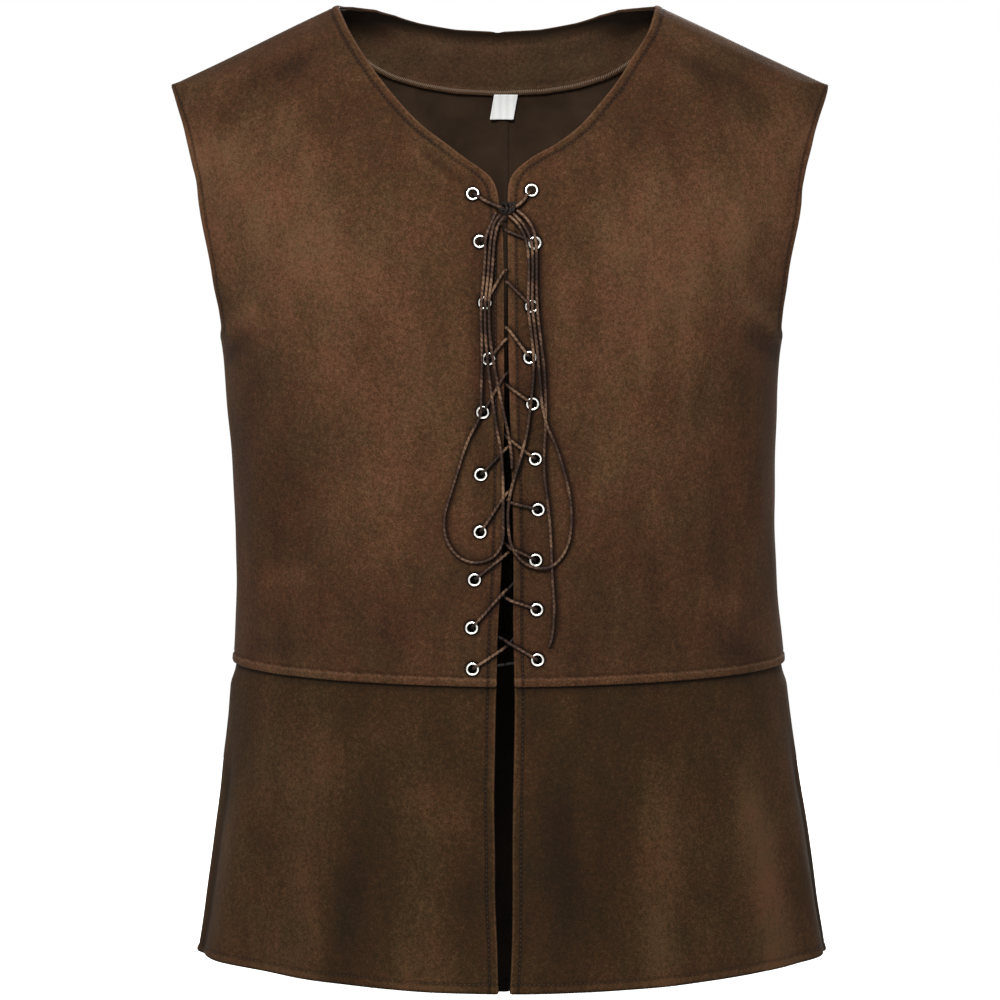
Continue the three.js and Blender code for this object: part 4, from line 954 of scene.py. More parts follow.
# %% Sizes of the fronts
OPEN_SIDE_RISE = 5
OPENING_SHADE, OPENING_SHADE_WIDTH = 0.45, 1.2  # on the inner edges, each in the other's shade
OPENING_SHADE_TOP, OPENING_SHADE_FULL = 135, 165  # millimetres down, just below the knot
ARMHOLE = table("z front back", [
    (TIP_Z, 90, 90), (-61, 84, 85), (-69, 78.5, 80.5), (-87, 72, 75),
    (-106, 68.2, 72), (-124, 66, 70.2), (-142, 65.2, 69.4), (-160, 65.2, 69.2),
    (-178, 66.2, 69.8), (-195, 68, 71), (-213, 71, 73.2), (-226, 74.5, 76.4),
    (-236, 79.5, 81), (UNDERARM_Z, 90, 90),
])
FRONT_ROWS = table("inner outer", [
    (0, TIP_Z), (-2, -59.5), (-5, -61.5), (-10, -65), (-18, -70), (-30, -78), (-44, -88),
    (-60, -100), (-76, -112), (-90, -124), (-102, -136), (-113, -147), (-122, -156), (-130, -164),
    (-138, -172), (-152, -185), (-168, -198), (-186, -211), (-204, -223), (-222, -234), (-238, UNDERARM_Z),
    (-266, -268), (-296, -296), (-328, -326), (-360, -358), (-392, -390), (-424, -422), (-454, -451),
    (WAIST_CENTRE_Z, WAIST_SIDE_Z),
])


def row_value(rows, column, row):
    return np.interp(row, np.arange(len(rows[column])), rows[column])


def front_place(side):
    sign = SIDES[side]

    def place(row, share):
        inner_z, outer_z = row_value(FRONT_ROWS, "inner", row), row_value(FRONT_ROWS, "outer", row)
        inner = angle_at(sign * track(FRONT_EDGE, side, inner_z), inner_z)
        open_side = (outer_z < TIP_Z) & (outer_z > UNDERARM_Z)
        outer = sign * np.radians(np.where(open_side, track(ARMHOLE, "front", outer_z), 90))
        angle = inner + (outer - inner) * share
        return angle, inner_z + (outer_z - inner_z) * share, 0 * angle
    return place


def side_is_open(z):
    """1 along the armhole, 0 along the side seam, with a short change between."""
    return smoothstep(z, UNDERARM_Z, UNDERARM_Z + OPEN_SIDE_RISE)


def seam_shift(shape, **edges):
    """Half the gap at a seam, as a move of the corners on the named edges."""
    shift = np.zeros((*shape, 3))
    for edge, move in edges.items():
        spot = {"top": (0, slice(None)), "bottom": (-1, slice(None)), "inner": (slice(None), 0),
                "outer": (slice(None), -1)}[edge]
        shift[spot] += move
    return shift


# %% Cut and lay the fronts
stitch_lines = {}


def stitch_index(distances, distance=STITCH_IN):
    return int(np.abs(distances - distance).argmin())


fronts = {}
for side, sign in SIDES.items():
    grid = lay_out(front_place(side), len(FRONT_ROWS["inner"]) - 1)
    shape = grid["z"].shape
    armhole = side_is_open(grid["z"][:, -1:])
    relief = turned_edge(grid["inner"], grid["along"])
    relief = relief + armhole * turned_edge(grid["outer"], grid["along"])
    relief = relief + (1 - armhole) * sewn_seam(grid["outer"])
    relief = relief * smoothstep(grid["bottom"], BAND_WIDTH, BAND_WIDTH + 2)
    relief = relief + waist_band(grid["bottom"], grid["across"])
    relief = relief + sewn_seam(grid["top"])
    below_knot = smoothstep(-grid["z"], OPENING_SHADE_TOP, OPENING_SHADE_FULL)
    at_opening = np.exp(-(grid["inner"] / OPENING_SHADE_WIDTH) ** 2)
    # Painted light and shade on the front: highlights along turned edges, shade in the grooves of stitches
    # and seams and on the inner edge in the other front's shade, and the waist band's highlight and shade
    # line.
    tone_shift = (edge_highlight_and_groove_shade(grid["inner"]) - OPENING_SHADE * below_knot * at_opening
            + armhole * edge_highlight_and_groove_shade(grid["outer"]) + seam_groove_shade(grid["top"])
            + band_highlight_and_shade(grid["bottom"], grid["across"]) + (1 - armhole) * seam_groove_shade(grid["outer"]))
    bulge = np.full(shape, 0.8)
    bulge[0], bulge[:, -1] = 0.1, 0.1 + 0.7 * armhole[:, 0]
    shift = seam_shift(shape, top=(0, -GAP / 2, 0))
    shift[1:, -1, 1] -= GAP / 2 * (1 - armhole[1:, 0])
    piece, face, normal = suede_piece(f"suede_front_{side}", grid, relief, tone_shift, bulge, shift, body_suede,
                                      replaces=[f"front_{side}"])
    fronts[side] = piece
    column = stitch_index(grid["inner"][0])
    row = -1 - stitch_index(grid["bottom"][::-1, 0], BAND_WIDTH - 0.9)
    open_rows = np.flatnonzero(armhole[:, 0] > 0.5)
    stitch_lines[f"front_{side}"] = [
        (face[2:row, column], normal[2:row, column]),
        (face[open_rows, -1 - column], normal[open_rows, -1 - column]),
        (face[row, 2:-2], normal[row, 2:-2])]

# %% [markdown]
# ## Holes for the eyelets
# An eyelet is set in a punched hole a little wider than its barrel. A round cutter goes through the
# front at each place and a boolean takes the cloth away, which leaves a clean hole in any grid. Before
# that the grid is refined there and under the lace, the cloth is pressed in under each rim, and the
# nap is darkened round the rims and beside the strands, which keep light from it.

# %% Punch the fronts
PUNCH_RADIUS, PUNCH_REACH = 3.85, 8
PRESS_REACH, PRESS_DEPTH, PRESS_RADIUS, PRESS_WIDTH = 10, 0.5, 4.4, 1.8
RIM_SHADE, RIM_SHADE_RADIUS, RIM_SHADE_WIDTH = 1.1, 4.9, 1.0
STRAND_SHADE, STRAND_SHADE_WIDTH, STRAND_SHADE_REACH = 1.1, 2.1, 5
STRAND_SHADE_SHIFT = (1.2, -0.6)  # light comes a little from the right side and from above


def ring(radius, height, sides):
    turn = np.arange(sides) * 2 * math.pi / sides
    return np.stack([radius * np.cos(turn), radius * np.sin(turn), np.full(sides, float(height))], -1)


def on_cloth(points, x, z, tip=(0.0, 0.0)):
    """Stands points made round +Z on the cloth, tipped a little."""
    outward_way = form_normal(angle_at(x, z), z)
    across = np.cross([0, 0, 1], outward_way)
    across /= np.linalg.norm(across)
    outward_way = outward_way + tip[0] * across + tip[1] * np.cross(outward_way, across)
    outward_way /= np.linalg.norm(outward_way)
    across = across - outward_way * across.dot(outward_way)
    across /= np.linalg.norm(across)
    frame_axes = np.stack([across, np.cross(outward_way, across), outward_way])
    return cloth_point(angle_at(x, z), z) + points @ frame_axes


def from_strands(points):
    """How far points of the cloth lie from the nearest strand of lace that runs over them."""
    strands = np.vstack(laid_strands)
    above = front_point(strands[:, 0], strands[:, 2], 0)[:, 1] - strands[:, 1] > 0
    strands = strands[above][::2, ::2] + STRAND_SHADE_SHIFT
    parts = np.array_split(points[:, ::2], max(1, len(points) // 800))
    return np.concatenate([np.linalg.norm(part[:, None] - strands[None], axis=2).min(1) for part in parts])


def press_in(piece, side):
    """Refines a front at its eyelets and under the lace, darkens it there and presses in the rims."""
    places = np.array([cloth_point(angle_at(x, z), z)
                       for x, z in zip(EYELETS[f"{side}_x"], EYELETS[f"{side}_z"])])
    shape = bmesh.new()
    shape.from_mesh(piece.data)

    def distances():
        points = np.array([vertex.co for vertex in shape.verts]) / MM
        return np.linalg.norm(points[:, None] - places[None], axis=2).min(1), from_strands(points)

    away, shaded = distances()
    shape.edges.ensure_lookup_table()
    close = [edge for edge in shape.edges
             if max(away[vertex.index] for vertex in edge.verts) < PRESS_REACH
             or max(shaded[vertex.index] for vertex in edge.verts) < STRAND_SHADE_REACH]
    bmesh.ops.subdivide_edges(shape, edges=close, cuts=3, use_grid_fill=True)
    tone_shift = shape.verts.layers.float["tone_shift"]
    for vertex, distance, from_strand in zip(shape.verts, *distances()):
        vertex[tone_shift] -= STRAND_SHADE * math.exp(-(from_strand / STRAND_SHADE_WIDTH) ** 2)
        if distance < PRESS_REACH:
            x, z = vertex.co.x / MM, vertex.co.z / MM
            dent = PRESS_DEPTH * math.exp(-((distance - PRESS_RADIUS) / PRESS_WIDTH) ** 2)
            vertex.co -= Vector(form_normal(angle_at(x, z), z)) * dent * MM
            vertex[tone_shift] -= RIM_SHADE * math.exp(-((distance - RIM_SHADE_RADIUS) / RIM_SHADE_WIDTH) ** 2)
    shape.to_mesh(piece.data)
    shape.free()


def punch(piece, side):
    sides = 20
    points, faces = [], []
    for x, z in zip(EYELETS[f"{side}_x"], EYELETS[f"{side}_z"]):
        start = len(points) * 2 * sides
        cylinder = np.vstack([ring(PUNCH_RADIUS, height, sides) for height in (-PUNCH_REACH, PUNCH_REACH)])
        points.append(on_cloth(cylinder, x, z))
        low, high = [start + n for n in range(sides)], [start + sides + n for n in range(sides)]
        faces += [low[::-1], high]
        faces += [(low[n], low[(n + 1) % sides], high[(n + 1) % sides], high[n]) for n in range(sides)]
    mesh = bpy.data.meshes.new("punches")
    mesh.from_pydata((np.vstack(points) * MM).tolist(), [], faces)
    cutter = bpy.data.objects.new("punches", mesh)
    bpy.context.scene.collection.objects.link(cutter)
    cut = piece.modifiers.new("punch", "BOOLEAN")
    cut.operation, cut.solver, cut.object = "DIFFERENCE", "EXACT", cutter
    depsgraph = bpy.context.evaluated_depsgraph_get()
    punched = bpy.data.meshes.new_from_object(piece.evaluated_get(depsgraph))
    piece.modifiers.clear()
    piece.data = punched
    bpy.data.objects.remove(cutter)
    bpy.data.meshes.remove(mesh)
    print(piece.name, "punched:", len(punched.polygons), "faces")


for side, piece in fronts.items():
    press_in(piece, side)
    punch(piece, side)

# %% [markdown]
# ## The two backs
# The backs meet in a seam down the middle. Their inner edge is first the back of the neckline, turned
# over the facing, and then that seam.

# %% Cut and lay the backs
BACK_ROWS = table("neck inner outer", [
    (90, 0, TIP_Z), (71, 1.2, -60), (53, 0.7, -64), (39, -3, -70), (26, -8.4, -79),
    (13, -12.6, -91), (0, -14.3, -105), (0, -36, -122), (0, -60, -139), (0, -86, -156),
    (0, -112, -172), (0, -138, -188), (0, -164, -204), (0, -190, -219), (0, -214, -232),
    (0, -238, UNDERARM_Z), (0, -264, -264), (0, -293, -292), (0, -324, -322), (0, -356, -354),
    (0, -388, -386), (0, -420, -418), (0, -452, -450), (0, WAIST_CENTRE_Z, WAIST_SIDE_Z),
])
NECK_ROW = int(np.flatnonzero(BACK_ROWS["neck"] == 0)[0])


def back_place(side):
    sign = SIDES[side]

    def place(row, share):
        inner_z, outer_z = row_value(BACK_ROWS, "inner", row), row_value(BACK_ROWS, "outer", row)
        inner = 180 - row_value(BACK_ROWS, "neck", row)
        open_side = (outer_z < TIP_Z) & (outer_z > UNDERARM_Z)
        outer = 180 - np.where(open_side, track(ARMHOLE, "back", outer_z), 90)
        angle = sign * np.radians(inner + (outer - inner) * share)
        return angle, inner_z + (outer_z - inner_z) * share, 0 * angle
    return place


for side, sign in SIDES.items():
    grid = lay_out(back_place(side), len(BACK_ROWS["inner"]) - 1)
    shape = grid["z"].shape
    armhole = side_is_open(grid["z"][:, -1:])
    off_centre = np.abs(np.sin(grid["angle"][:, :1])) * half_width(grid["z"][:, :1])
    neck = smoothstep(off_centre, 0.5, 5)
    relief = neck * turned_edge(grid["inner"], grid["along"]) + (1 - neck) * sewn_seam(grid["inner"])
    relief = relief + armhole * turned_edge(grid["outer"], grid["along"])
    relief = relief + (1 - armhole) * sewn_seam(grid["outer"])
    relief = relief * smoothstep(grid["bottom"], BAND_WIDTH, BAND_WIDTH + 2)
    relief = relief + waist_band(grid["bottom"], grid["across"]) + sewn_seam(grid["top"])
    # Painted light and shade on the back: highlights along turned edges, shade in the grooves of stitches and
    # seams, and the waist band's highlight and shade line.
    tone_shift = (neck * edge_highlight_and_groove_shade(grid["inner"]) + (1 - neck) * seam_groove_shade(grid["inner"])
            + armhole * edge_highlight_and_groove_shade(grid["outer"]) + (1 - armhole) * seam_groove_shade(grid["outer"])
            + band_highlight_and_shade(grid["bottom"], grid["across"]) + seam_groove_shade(grid["top"]))
    bulge = np.full(shape, 0.8)
    rounded = smoothstep(off_centre[:, 0], 0.1, 1.0)
    bulge[:, 0], bulge[:, -1] = 0.1 + 0.7 * rounded, 0.1 + 0.7 * armhole[:, 0]
    bulge[0] = 0.1
    shift = seam_shift(shape, top=(0, GAP / 2, 0))
    shift[1:, -1, 1] += GAP / 2 * (1 - armhole[1:, 0])
    shift[:, 0, 0] += sign * GAP / 2 * (1 - neck[:, 0])
    _, face, normal = suede_piece(f"suede_back_{side}", grid, relief, tone_shift, bulge, shift, body_suede,
                                  replaces=[f"back_{side}"])
    column = stitch_index(grid["inner"][0])
    row = -1 - stitch_index(grid["bottom"][::-1, 0], BAND_WIDTH - 0.9)
    open_rows, neck_rows = np.flatnonzero(armhole[:, 0] > 0.5), np.flatnonzero(neck[:, 0] > 0.5)
    stitch_lines[f"back_{side}"] = [
        (face[neck_rows, column], normal[neck_rows, column]),
        (face[open_rows, -1 - column], normal[open_rows, -1 - column]),
        (face[row, 2:-2], normal[row, 2:-2])]

# %% [markdown]
# ## The skirt
# The skirt starts a few millimetres up inside the waist band and comes out to the form below it, then
# flares to the hem. Its two fronts have the opening between them; the back is one piece, cut longer
# towards its middle, so that it closes the slit when seen from in front.

# %% Cut and lay the skirt
SKIRT_LENGTH = 218
HEM_STITCH_IN = 6.3


def skirt_place(first, final):
    """Places on the skirt by the drop below its top edge, between two edge angles."""
    def place(drop, share):
        start = first(drop)
        angle = start + (final - start) * share
        level = np.abs(np.cos(angle))
        top = WAIST_SIDE_Z + (WAIST_CENTRE_Z - WAIST_SIDE_Z) * level + LAP
        hem = HEM_SIDE_Z + (HEM_CENTRE_Z - HEM_SIDE_Z) * level
        lift = -(WALL + LAP_GAP) * (1 - smoothstep(drop, LAP + 4, LAP + LAP_RUN_OUT))
        middle = np.maximum(0, -np.cos(angle)) ** TAIL_POWER
        tail = TAIL_DROP * smoothstep(drop, TAIL_START, TAIL_END) * middle
        return angle, top + (hem - top) * drop / SKIRT_LENGTH - tail, lift
    return place


def skirt_edge(side):
    top, hem = WAIST_CENTRE_Z + LAP, HEM_CENTRE_Z

    def at(drop):
        z = top + (hem - top) * drop / SKIRT_LENGTH
        return angle_at(SIDES[side] * track(FRONT_EDGE, side, z), z)
    return at


def cut_skirt(name, place, node, shift_ways, opening):
    grid = lay_out(place, SKIRT_LENGTH, top_reach=2.7)
    shape = grid["z"].shape
    inner_edge = turned_edge(grid["inner"], grid["along"]) if opening else sewn_seam(grid["inner"])
    relief = (inner_edge + sewn_seam(grid["outer"])) * smoothstep(grid["bottom"], 1, 7)
    relief = relief * smoothstep(grid["top"], 7, 12)
    relief = relief + turned_edge(grid["bottom"], grid["across"], HEM_STITCH_IN)
    # Painted light and shade on the skirt: a highlight on the hem's doubled strip, shade along its lower
    # edge, in the grooves of stitches and seams, and the shadow under the waist band.
    tone_shift = (0.22 * (1 - smoothstep(grid["bottom"], 4, HEM_STITCH_IN + 1))
            - 0.9 * np.exp(-(grid["bottom"] / 0.9) ** 2)
            - 0.35 * np.exp(-((grid["bottom"] - HEM_STITCH_IN) / 1.2) ** 2) + seam_groove_shade(grid["outer"])
            + (edge_highlight_and_groove_shade(grid["inner"]) if opening else seam_groove_shade(grid["inner"]))
            - 0.9 * np.exp(-((grid["top"] - LAP) / 3) ** 2))
    bulge = np.full(shape, 0.8)
    bulge[:, -1] = 0.1
    if not opening:
        bulge[:, 0] = 0.1
    _, face, normal = suede_piece(name, grid, relief, tone_shift, bulge, seam_shift(shape, **shift_ways),
                                  skirt_suede_painted_shade, replaces=[node])
    row = -1 - stitch_index(grid["bottom"][::-1, 0], HEM_STITCH_IN)
    lines = [(face[row, 2:-2], normal[row, 2:-2])]
    if opening:
        column = stitch_index(grid["inner"][0])
        lines.append((face[6:row, column], normal[6:row, column]))
    stitch_lines[node] = lines


for side, sign in SIDES.items():
    cut_skirt(f"suede_skirt_front_{side}", skirt_place(skirt_edge(side), sign * math.pi / 2),
              f"skirt_front_{side}", {"outer": (0, -GAP / 2, 0)}, True)
cut_skirt("suede_skirt_back", skirt_place(lambda drop: math.pi / 2 + 0 * drop, 3 * math.pi / 2), "skirt_back",
          {"inner": (0, GAP / 2, 0), "outer": (0, GAP / 2, 0)}, False)

# %% [markdown]
# ## Topstitching
# The turned edges are held by a row of machine stitches, three to the centimetre, in thread a shade
# off the suede. Each stitch is a short plump thread that dives into the cloth at both ends.

# %% Thread material and stitches
STITCH_PITCH = 3.3
STITCH_LENGTH = 2.5
THREAD_RADIUS = 0.3

thread = new_material("polyester_sewing_thread")
finish_with(thread, add(thread, "ShaderNodeBsdfPrincipled", {
    "Roughness": 0.7, "Specular IOR Level": 0.2},
    {"Base Color": add(thread, "ShaderNodeValToRGB", links={
        "Fac": add(thread, "ShaderNodeTexNoise", {"Scale": 1000 / 9}, {
            "Vector": add(thread, "ShaderNodeTexCoord").outputs["Object"]}).outputs["Fac"]},
        stops=[(0.35, linear("#150d07")), (0.65, linear("#281b11"))]).outputs["Color"]}))

STITCH_RINGS = table("along height size", [
    (-0.5, -0.9, 0.5), (-0.3, -0.35, 1.0), (0, -0.2, 1.05), (0.3, -0.35, 1.0), (0.5, -0.9, 0.5)])
THREAD_SIDES = 6


def sew(name, lines, pitch=STITCH_PITCH, length=STITCH_LENGTH, radius=THREAD_RADIUS, lean=0.0,
        material=thread):
    """Rows of stitches along lines of points with normals."""
    centres, ways, ups = [], [], []
    for points, normals in lines:
        reach = np.concatenate([[0], np.cumsum(steps_of(points))])
        at = np.arange(pitch / 2, reach[-1], pitch)
        spot = np.stack([np.interp(at, reach, points[:, k]) for k in range(3)], -1)
        ahead = np.stack([np.interp(at + 0.4, reach, points[:, k]) for k in range(3)], -1)
        behind = np.stack([np.interp(at - 0.4, reach, points[:, k]) for k in range(3)], -1)
        centres.append(spot)
        ways.append(ahead - behind)
        ups.append(np.stack([np.interp(at, reach, normals[:, k]) for k in range(3)], -1))
    centre, way, up = (np.vstack(v) for v in (centres, ways, ups))
    up /= np.linalg.norm(up, axis=1, keepdims=True)
    way -= up * (way * up).sum(1, keepdims=True)
    way /= np.linalg.norm(way, axis=1, keepdims=True)
    across = np.cross(up, way)
    way, across = (way * math.cos(lean) + across * math.sin(lean),
                   across * math.cos(lean) - way * math.sin(lean))
    turn = np.arange(THREAD_SIDES) * 2 * math.pi / THREAD_SIDES
    rings = []
    for along, height, size in zip(*STITCH_RINGS.values()):
        middle = centre + way * along * length + up * height * radius * 2
        rings.append(middle[:, None] + radius * size * (
            np.cos(turn)[None, :, None] * across[:, None] + np.sin(turn)[None, :, None] * up[:, None]))
    points = np.stack(rings, 1).reshape(-1, 3)
    count, sides = len(STITCH_RINGS["along"]), THREAD_SIDES
    one = [(k * sides + n, k * sides + (n + 1) % sides,
            (k + 1) * sides + (n + 1) % sides, (k + 1) * sides + n)
           for k in range(count - 1) for n in range(sides)]
    caps = [tuple(range(sides))[::-1], tuple(range((count - 1) * sides, count * sides))]
    faces = [tuple(v + i * count * sides for v in face) for i in range(len(centre)) for face in one + caps]
    return make(name, points, faces, [material])


for node, lines in stitch_lines.items():
    sew(f"topstitching_{node}", lines)

# %% [markdown]
# ## The facing inside the back neck
# A facing is a curved strip of the same suede, sewn to the neckline and turned inside so that no raw
# edge touches the neck. Its lower edge is overlocked: a band of looping thread wraps the raw edge.

# %% Cut and lay the facing
FACING_WALL = 1.2
FACING_GAP = 1.5
FACING_EDGE_SHADE, FACING_EDGE_REACH = 1.3, 3.5  # under the neckline
FACING_SIDE_SHADE = 1.5  # towards the shoulders, where the fronts keep the light out
FACING_END = 88.5
FACING_LOWER = table("neck z", [
    (0, -59.5), (8, -57.8), (15, -53.4), (22, -47), (29, -39),
    (38, -28.5), (50, -19), (66, -14), (90, -13),
])


def neck_place(row, share):
    neck = FACING_END * (1 - 2 * share)
    rows = slice(0, NECK_ROW + 1)
    top = np.interp(np.abs(neck), BACK_ROWS["neck"][rows][::-1], BACK_ROWS["inner"][rows][::-1])
    low = np.interp(np.abs(neck), FACING_LOWER["neck"], FACING_LOWER["z"])
    z = top + (low - top) * row
    return np.radians(180 - neck), z, -(WALL + 0.2) - (FACING_GAP - 0.2) * smoothstep(row, 0, 0.3)


facing_grid = lay_out(neck_place, 1.0, top_reach=2.7, bottom_reach=5.4, reach=(2.7, 2.7))
FACING_WRINKLES = table("from from_z to to_z width height", [
    (148, -16, 178, -26, 3.5, 0.7), (150, -25, 172, -34, 3, -0.6), (152, -38, 176, -44, 4, 0.5),
    (-176, -30, -150, -24, 4, 0.5), (-170, -42, -152, -34, 3.5, -0.5), (-128, -8, -150, -18, 3, 0.6),
])
shape = facing_grid["z"].shape
flat = np.zeros(shape)
facing_wrinkles = fold_lift(FACING_WRINKLES, facing_grid["angle"], facing_grid["z"])
facing_grid["lift"] = (facing_grid["lift"] - facing_wrinkles
                       + 0.3 * np.exp(-((facing_grid["bottom"] - 4.6) / 0.8) ** 2))
round_neck = np.abs(np.degrees(facing_grid["angle"]) - 180)
# Painted shade on the facing: dark under the neckline and towards the shoulders.
facing_painted_shade = (-FACING_EDGE_SHADE * np.exp(-(facing_grid["top"] / FACING_EDGE_REACH) ** 2)
               - FACING_SIDE_SHADE * smoothstep(round_neck, 20, 55)
               * (1 - smoothstep(facing_grid["top"], 8, 26)))
_, face, normal = suede_piece("suede_neck_facing", facing_grid, flat, facing_painted_shade, flat + 0.6,
                              flat[..., None], facing_suede_painted_light, facing_suede_painted_light, ["neck_facing"],
                              wall=FACING_WALL)

# %% [markdown]
# ## Overlocking
# An overlock machine wraps the cut edge in slanting stitches a couple of millimetres apart, in a
# thread that shows a little lighter than the suede. The seam allowances have the same band, narrower
# and in a darker tone, because they lie deeper in the hollow.

# %% Overlock the facing
overlock_thread = new_material("overlock_thread")
finish_with(overlock_thread, add(overlock_thread, "ShaderNodeBsdfPrincipled", {
    "Base Color": linear("#6a594a"), "Roughness": 0.75, "Specular IOR Level": 0.3, "Sheen Weight": 0.1,
    "Sheen Tint": linear("#c0ac98")}))
dark_thread = new_material("overlock_thread_in_shade")
finish_with(dark_thread, add(dark_thread, "ShaderNodeBsdfPrincipled", {
    "Base Color": linear("#261e19"), "Roughness": 0.8, "Specular IOR Level": 0.05}))
OVERLOCK_PITCH = 1.5
OVERLOCK_WIDTH = 4.2
OVERLOCK_LEAN = math.radians(68)


def overlock(name, edge_line, width=OVERLOCK_WIDTH, material=overlock_thread):
    sew(name, [edge_line], pitch=OVERLOCK_PITCH, length=width, radius=0.36,
        lean=OVERLOCK_LEAN, material=material)


inside = face - normal * FACING_WALL
row = -1 - stitch_index(facing_grid["bottom"][::-1, 0], OVERLOCK_WIDTH / 2)
overlock("overlock_neck_facing", (inside[row, 3:-3], -normal[row, 3:-3]))

# %% [markdown]
# ## Seam allowances inside
# Where two pieces are joined there is a strip of spare cloth behind the seam. Down the centre back both
# layers are pressed to one side and overlocked together, so from the neck it shows as a soft ridge. The
# side seams have the same, in the bodice and in the skirt, and no light comes through any of them.

# %% Lay the allowances
ALLOWANCE_WIDTH = 7
ALLOWANCE_WALL = 1.2
ALLOWANCE_OVERLAP = 1.8  # how far a strip reaches past its seam
ALLOWANCE_RIDGE = 0.9
ALLOWANCE_OVERLOCK = 2.6
BACK_RADIUS = 210  # turns a distance from the centre back into an angle


def beside_seam(seam_degrees, z, offset):
    """The angle at a distance round the form from a seam."""
    if seam_degrees == 180:
        return math.pi + offset / BACK_RADIUS + 0 * z
    depth = (track(RINGS, "front", z) + track(RINGS, "back", z)) / 2
    swing = np.arcsin((np.abs(offset) / depth) ** (1 / track(RINGS, "power", z)))
    return math.radians(seam_degrees) + np.sign(offset) * swing


def allowance(name, seam_degrees, top, bottom, towards):
    """A strip inside the cloth beside a seam, on the side of rising angle if towards is 1."""
    def place(row, share):
        z = top + (bottom - top) * row
        offset = (share * ALLOWANCE_WIDTH - ALLOWANCE_OVERLAP) * towards
        lift = -(WALL + 0.2) - ALLOWANCE_RIDGE * np.exp(-((share - 0.5) / 0.2) ** 2)
        return beside_seam(seam_degrees, z, offset), z + 0 * share, lift + 0 * z
    grid = lay_out(place, 1.0, top_reach=0.9, bottom_reach=0.9, reach=(2.7, 1.8))
    shape = grid["z"].shape
    flat = np.zeros(shape)
    _, face, normal = suede_piece(name, grid, flat, flat, np.full(shape, 0.9), np.zeros((*shape, 3)),
                                  knit_back, knit_back, wall=ALLOWANCE_WALL)
    inside = face - normal * ALLOWANCE_WALL
    column = -1 - stitch_index(grid["outer"][0, ::-1], ALLOWANCE_WIDTH / 2)
    overlock(f"overlock_{name}", (inside[2:-2, column], -normal[2:-2, column]),
             ALLOWANCE_OVERLOCK, dark_thread)


allowance("allowance_centre_back", 180, -58, -477, -1)
allowance("allowance_side_right", -90, -246, -474, -1)
allowance("allowance_side_left", 90, -246, -474, 1)
allowance("allowance_skirt_right", -90, -515, -695, -1)
allowance("allowance_skirt_left", 90, -515, -695, 1)

# %% [markdown]
# ## The care label
# A short end of white satin ribbon is caught under the facing's edge. Satin's long floats give a soft
# gloss along the ribbon. It is left bare.

# %% Satin ribbon and the label
LABEL_WIDTH, LABEL_HEIGHT = 17.8, 16.8
LABEL_CENTRE, LABEL_SLANT, LABEL_DROP = 4.6, 3.3, 0.8
RIBBON_THREAD = 0.9  # millimetres between the threads that show

ribbon = new_material("white_satin_ribbon")
place = add(ribbon, "ShaderNodeTexCoord").outputs["Object"]
floats = add(ribbon, "ShaderNodeTexWave", {"Scale": 1000 / RIBBON_THREAD / 20, "Distortion": 0.4},
             {"Vector": place}, wave_type="BANDS", bands_direction="X")
ribbon_bump = add(ribbon, "ShaderNodeBump", {"Strength": 0.03, "Distance": 0.1 * MM},
                  {"Height": floats.outputs["Fac"]})
ribbon_colour = add(ribbon, "ShaderNodeValToRGB", links={"Fac": floats.outputs["Fac"]},
                    stops=[(0.2, linear("#acacaa")), (0.8, linear("#b4b4b2"))])
finish_with(ribbon, add(ribbon, "ShaderNodeBsdfPrincipled", {"Roughness": 0.45, "Sheen Weight": 0.2},
                        {"Base Color": ribbon_colour.outputs["Color"],
                         "Normal": ribbon_bump.outputs["Normal"]}))


def label_place(row, share):
    z = FACING_LOWER["z"][0] - LABEL_DROP + 1.6 - row * (LABEL_HEIGHT + 1.6)
    x = LABEL_CENTRE + (0.5 - share) * LABEL_WIDTH - row * LABEL_SLANT
    lift = -(WALL + 2.3) - 1.0 * row ** 2 - 0.5 * (2 * share - 1) ** 2 * row
    return math.pi - angle_at(x, z), z + 0 * share, lift


grid = lay_out(label_place, 1.0, top_reach=1.8, bottom_reach=1.8, reach=(1.8, 1.8))
shape = grid["z"].shape
suede_piece("care_label_ribbon", grid, np.zeros(shape), np.zeros(shape), np.full(shape, 0.8),
            np.zeros((*shape, 3)), ribbon, ribbon, ["care_label"], wall=0.5)

# %% [markdown]
# ## The eyelets
# An eyelet is stamped from thin brass and nickel plated. Its front edge is rolled over into a smooth
# ring and its barrel is spread over a washer behind the cloth. One profile is turned round an axis,
# and every eyelet is tipped a little, as they are when set by hand. Polish leaves only hair lines, so
# the metal is smooth with a slight unevenness in roughness.

# %% Nickel plate and the eyelets
nickel = new_material("nickel_plated_brass")
place = add(nickel, "ShaderNodeTexCoord").outputs["Object"]
rubbed = add(nickel, "ShaderNodeTexNoise", {"Scale": 1000 / 2.5, "Detail": 3.0}, {"Vector": place})
rough = add(nickel, "ShaderNodeMapRange", {3: 0.16, 4: 0.34}, {0: rubbed.outputs["Fac"]})
plate = add(nickel, "ShaderNodeValToRGB", links={"Fac": rubbed.outputs["Fac"]},
            stops=[(0.3, linear("#c9c6bd")), (0.6, linear("#e6e4dd"))])
finish_with(nickel, add(nickel, "ShaderNodeBsdfPrincipled", {"Metallic": 1.0},
                        {"Base Color": plate.outputs["Color"], "Roughness": rough.outputs[0]}))

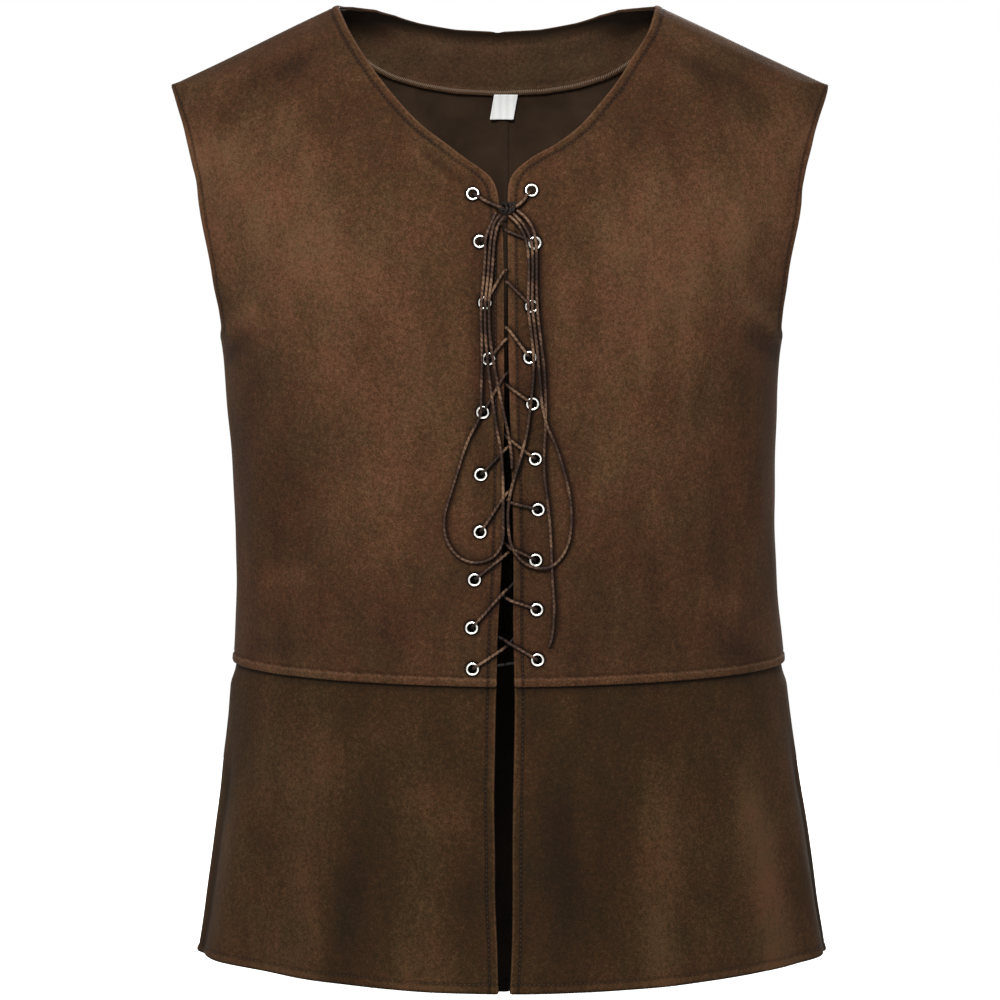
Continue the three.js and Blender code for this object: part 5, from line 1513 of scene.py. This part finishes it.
EYELET_PROFILE = table("radius height", [
    (4.5, 0.2), (4.62, 0.5), (4.58, 0.85), (4.42, 1.12), (4.12, 1.28), (3.8, 1.3), (3.46, 1.16),
    (3.2, 0.85), (3.1, 0.3), (3.08, -1.6), (3.1, -2.1), (3.3, -2.42), (3.7, -2.5), (4.2, -2.36),
    (4.4, -2.2), (4.2, -2.06), (3.6, -2.02), (3.36, -1.8), (3.36, 0.1), (3.56, 0.2),
])
EYELET_SIDES = 36
tips = np.random.default_rng(5)


def lathe(profile, sides):
    turn = np.arange(sides) * 2 * math.pi / sides
    radius, height = profile["radius"][:, None], profile["height"][:, None]
    points = np.stack([radius * np.cos(turn), radius * np.sin(turn), height + 0 * turn], -1).reshape(-1, 3)
    count = len(profile["radius"])
    i, j = np.meshgrid(np.arange(count), np.arange(sides), indexing="ij")
    k, n = (i + 1) % count, (j + 1) % sides
    faces = np.stack([i * sides + j, i * sides + n, k * sides + n, k * sides + j], -1).reshape(-1, 4)
    return points, outward(points, faces)


for side in SIDES:
    for i, (x, z) in enumerate(zip(EYELETS[f"{side}_x"], EYELETS[f"{side}_z"])):
        points, faces = lathe(EYELET_PROFILE, EYELET_SIDES)
        number = f"eyelet_{side}_{i + 1:02d}"
        placed = on_cloth(points, x, z, tips.uniform(-0.05, 0.05, 2))
        make(f"{number}_ring", placed, faces, [nickel], [number])

# %% [markdown]
# Each cut piece comes from flat cloth: listed here are the size of the flat rectangle it was cut
# from and the flat area of the cut itself, which are printed. A panel's cut counts the cloth that is
# turned under or sewn in, so its area on the form is five to eleven percent less.

# %% Flat sizes of the cut pieces
# Name, width and length of the flat rectangle in metres, and the cut's own area in square metres.
CUTS = [
    ("suede_front_right", 0.285, 0.515, 0.126), ("suede_front_left", 0.280, 0.515, 0.124),
    ("suede_back_right", 0.285, 0.520, 0.137), ("suede_back_left", 0.285, 0.520, 0.137),
    ("suede_skirt_front_right", 0.305, 0.245, 0.067), ("suede_skirt_front_left", 0.318, 0.245, 0.070),
    ("suede_skirt_back", 0.625, 0.305, 0.160), ("suede_neck_facing", 0.400, 0.062, 0.0162),
    ("allowance_centre_back", 0.010, 0.422, 0.0035), ("allowance_side_right", 0.010, 0.229, 0.0019),
    ("allowance_side_left", 0.010, 0.229, 0.0019), ("allowance_skirt_right", 0.010, 0.180, 0.0015),
    ("allowance_skirt_left", 0.010, 0.180, 0.0015), ("care_label_ribbon", 0.018, 0.021, 0.00037),
]
for name, width, length, area in CUTS:
    print(f"{name}: cut from {width * 1000:.0f} by {length * 1000:.0f} mm, {area:.4f} square metres")

# %% [markdown]
# ## Floor and light
# A pale floor below the hem and even white surroundings give soft light from all round. One lamp high
# in front makes the chest lighter than the sides and the skirt, and a larger one behind keeps the back
# from going flat.

# %% Floor, surroundings and lamps
FLOOR_Z, FLOOR_RADIUS, FLOOR_SIDES = -0.80, 1.5, 96
floor_mesh = bpy.data.meshes.new("floor")
rim = [(FLOOR_RADIUS * math.cos(t), FLOOR_RADIUS * math.sin(t), FLOOR_Z)
       for t in np.linspace(0, 2 * math.pi, FLOOR_SIDES, False)]
floor_mesh.from_pydata(rim, [], [tuple(range(FLOOR_SIDES))])
floor = bpy.data.objects.new("floor", floor_mesh)
bpy.context.scene.collection.objects.link(floor)

pale = new_material("pale_floor")
finish_with(pale, add(pale, "ShaderNodeBsdfPrincipled", {"Base Color": linear("#fbfbfa"), "Roughness": 0.9,
                                                         "Specular IOR Level": 0.1}))
floor_mesh.materials.append(pale)

world = bpy.data.worlds.new("white_surroundings")
world.use_nodes = True
world.node_tree.nodes["Background"].inputs["Color"].default_value = (1, 1, 1, 1)
world.node_tree.nodes["Background"].inputs["Strength"].default_value = 1.0
bpy.context.scene.world = world


def lamp(name, at, towards, size, watts):
    data = bpy.data.lights.new(name, "AREA")
    data.shape, data.size, data.energy = "DISK", size, watts
    light = bpy.data.objects.new(name, data)
    light.location = at
    way = np.subtract(towards, at)
    light.rotation_euler = (math.atan2(np.hypot(way[0], way[1]), -way[2]), 0, math.atan2(-way[0], way[1]))
    bpy.context.scene.collection.objects.link(light)
    print("lamp", name, watts, "W")


lamp("front_lamp", (-0.25, -1.6, 0.75), (0, 0, -0.2), 0.5, 72)
lamp("back_lamp", (0.6, 1.8, 0.6), (0, 0, -0.35), 1.0, 50)
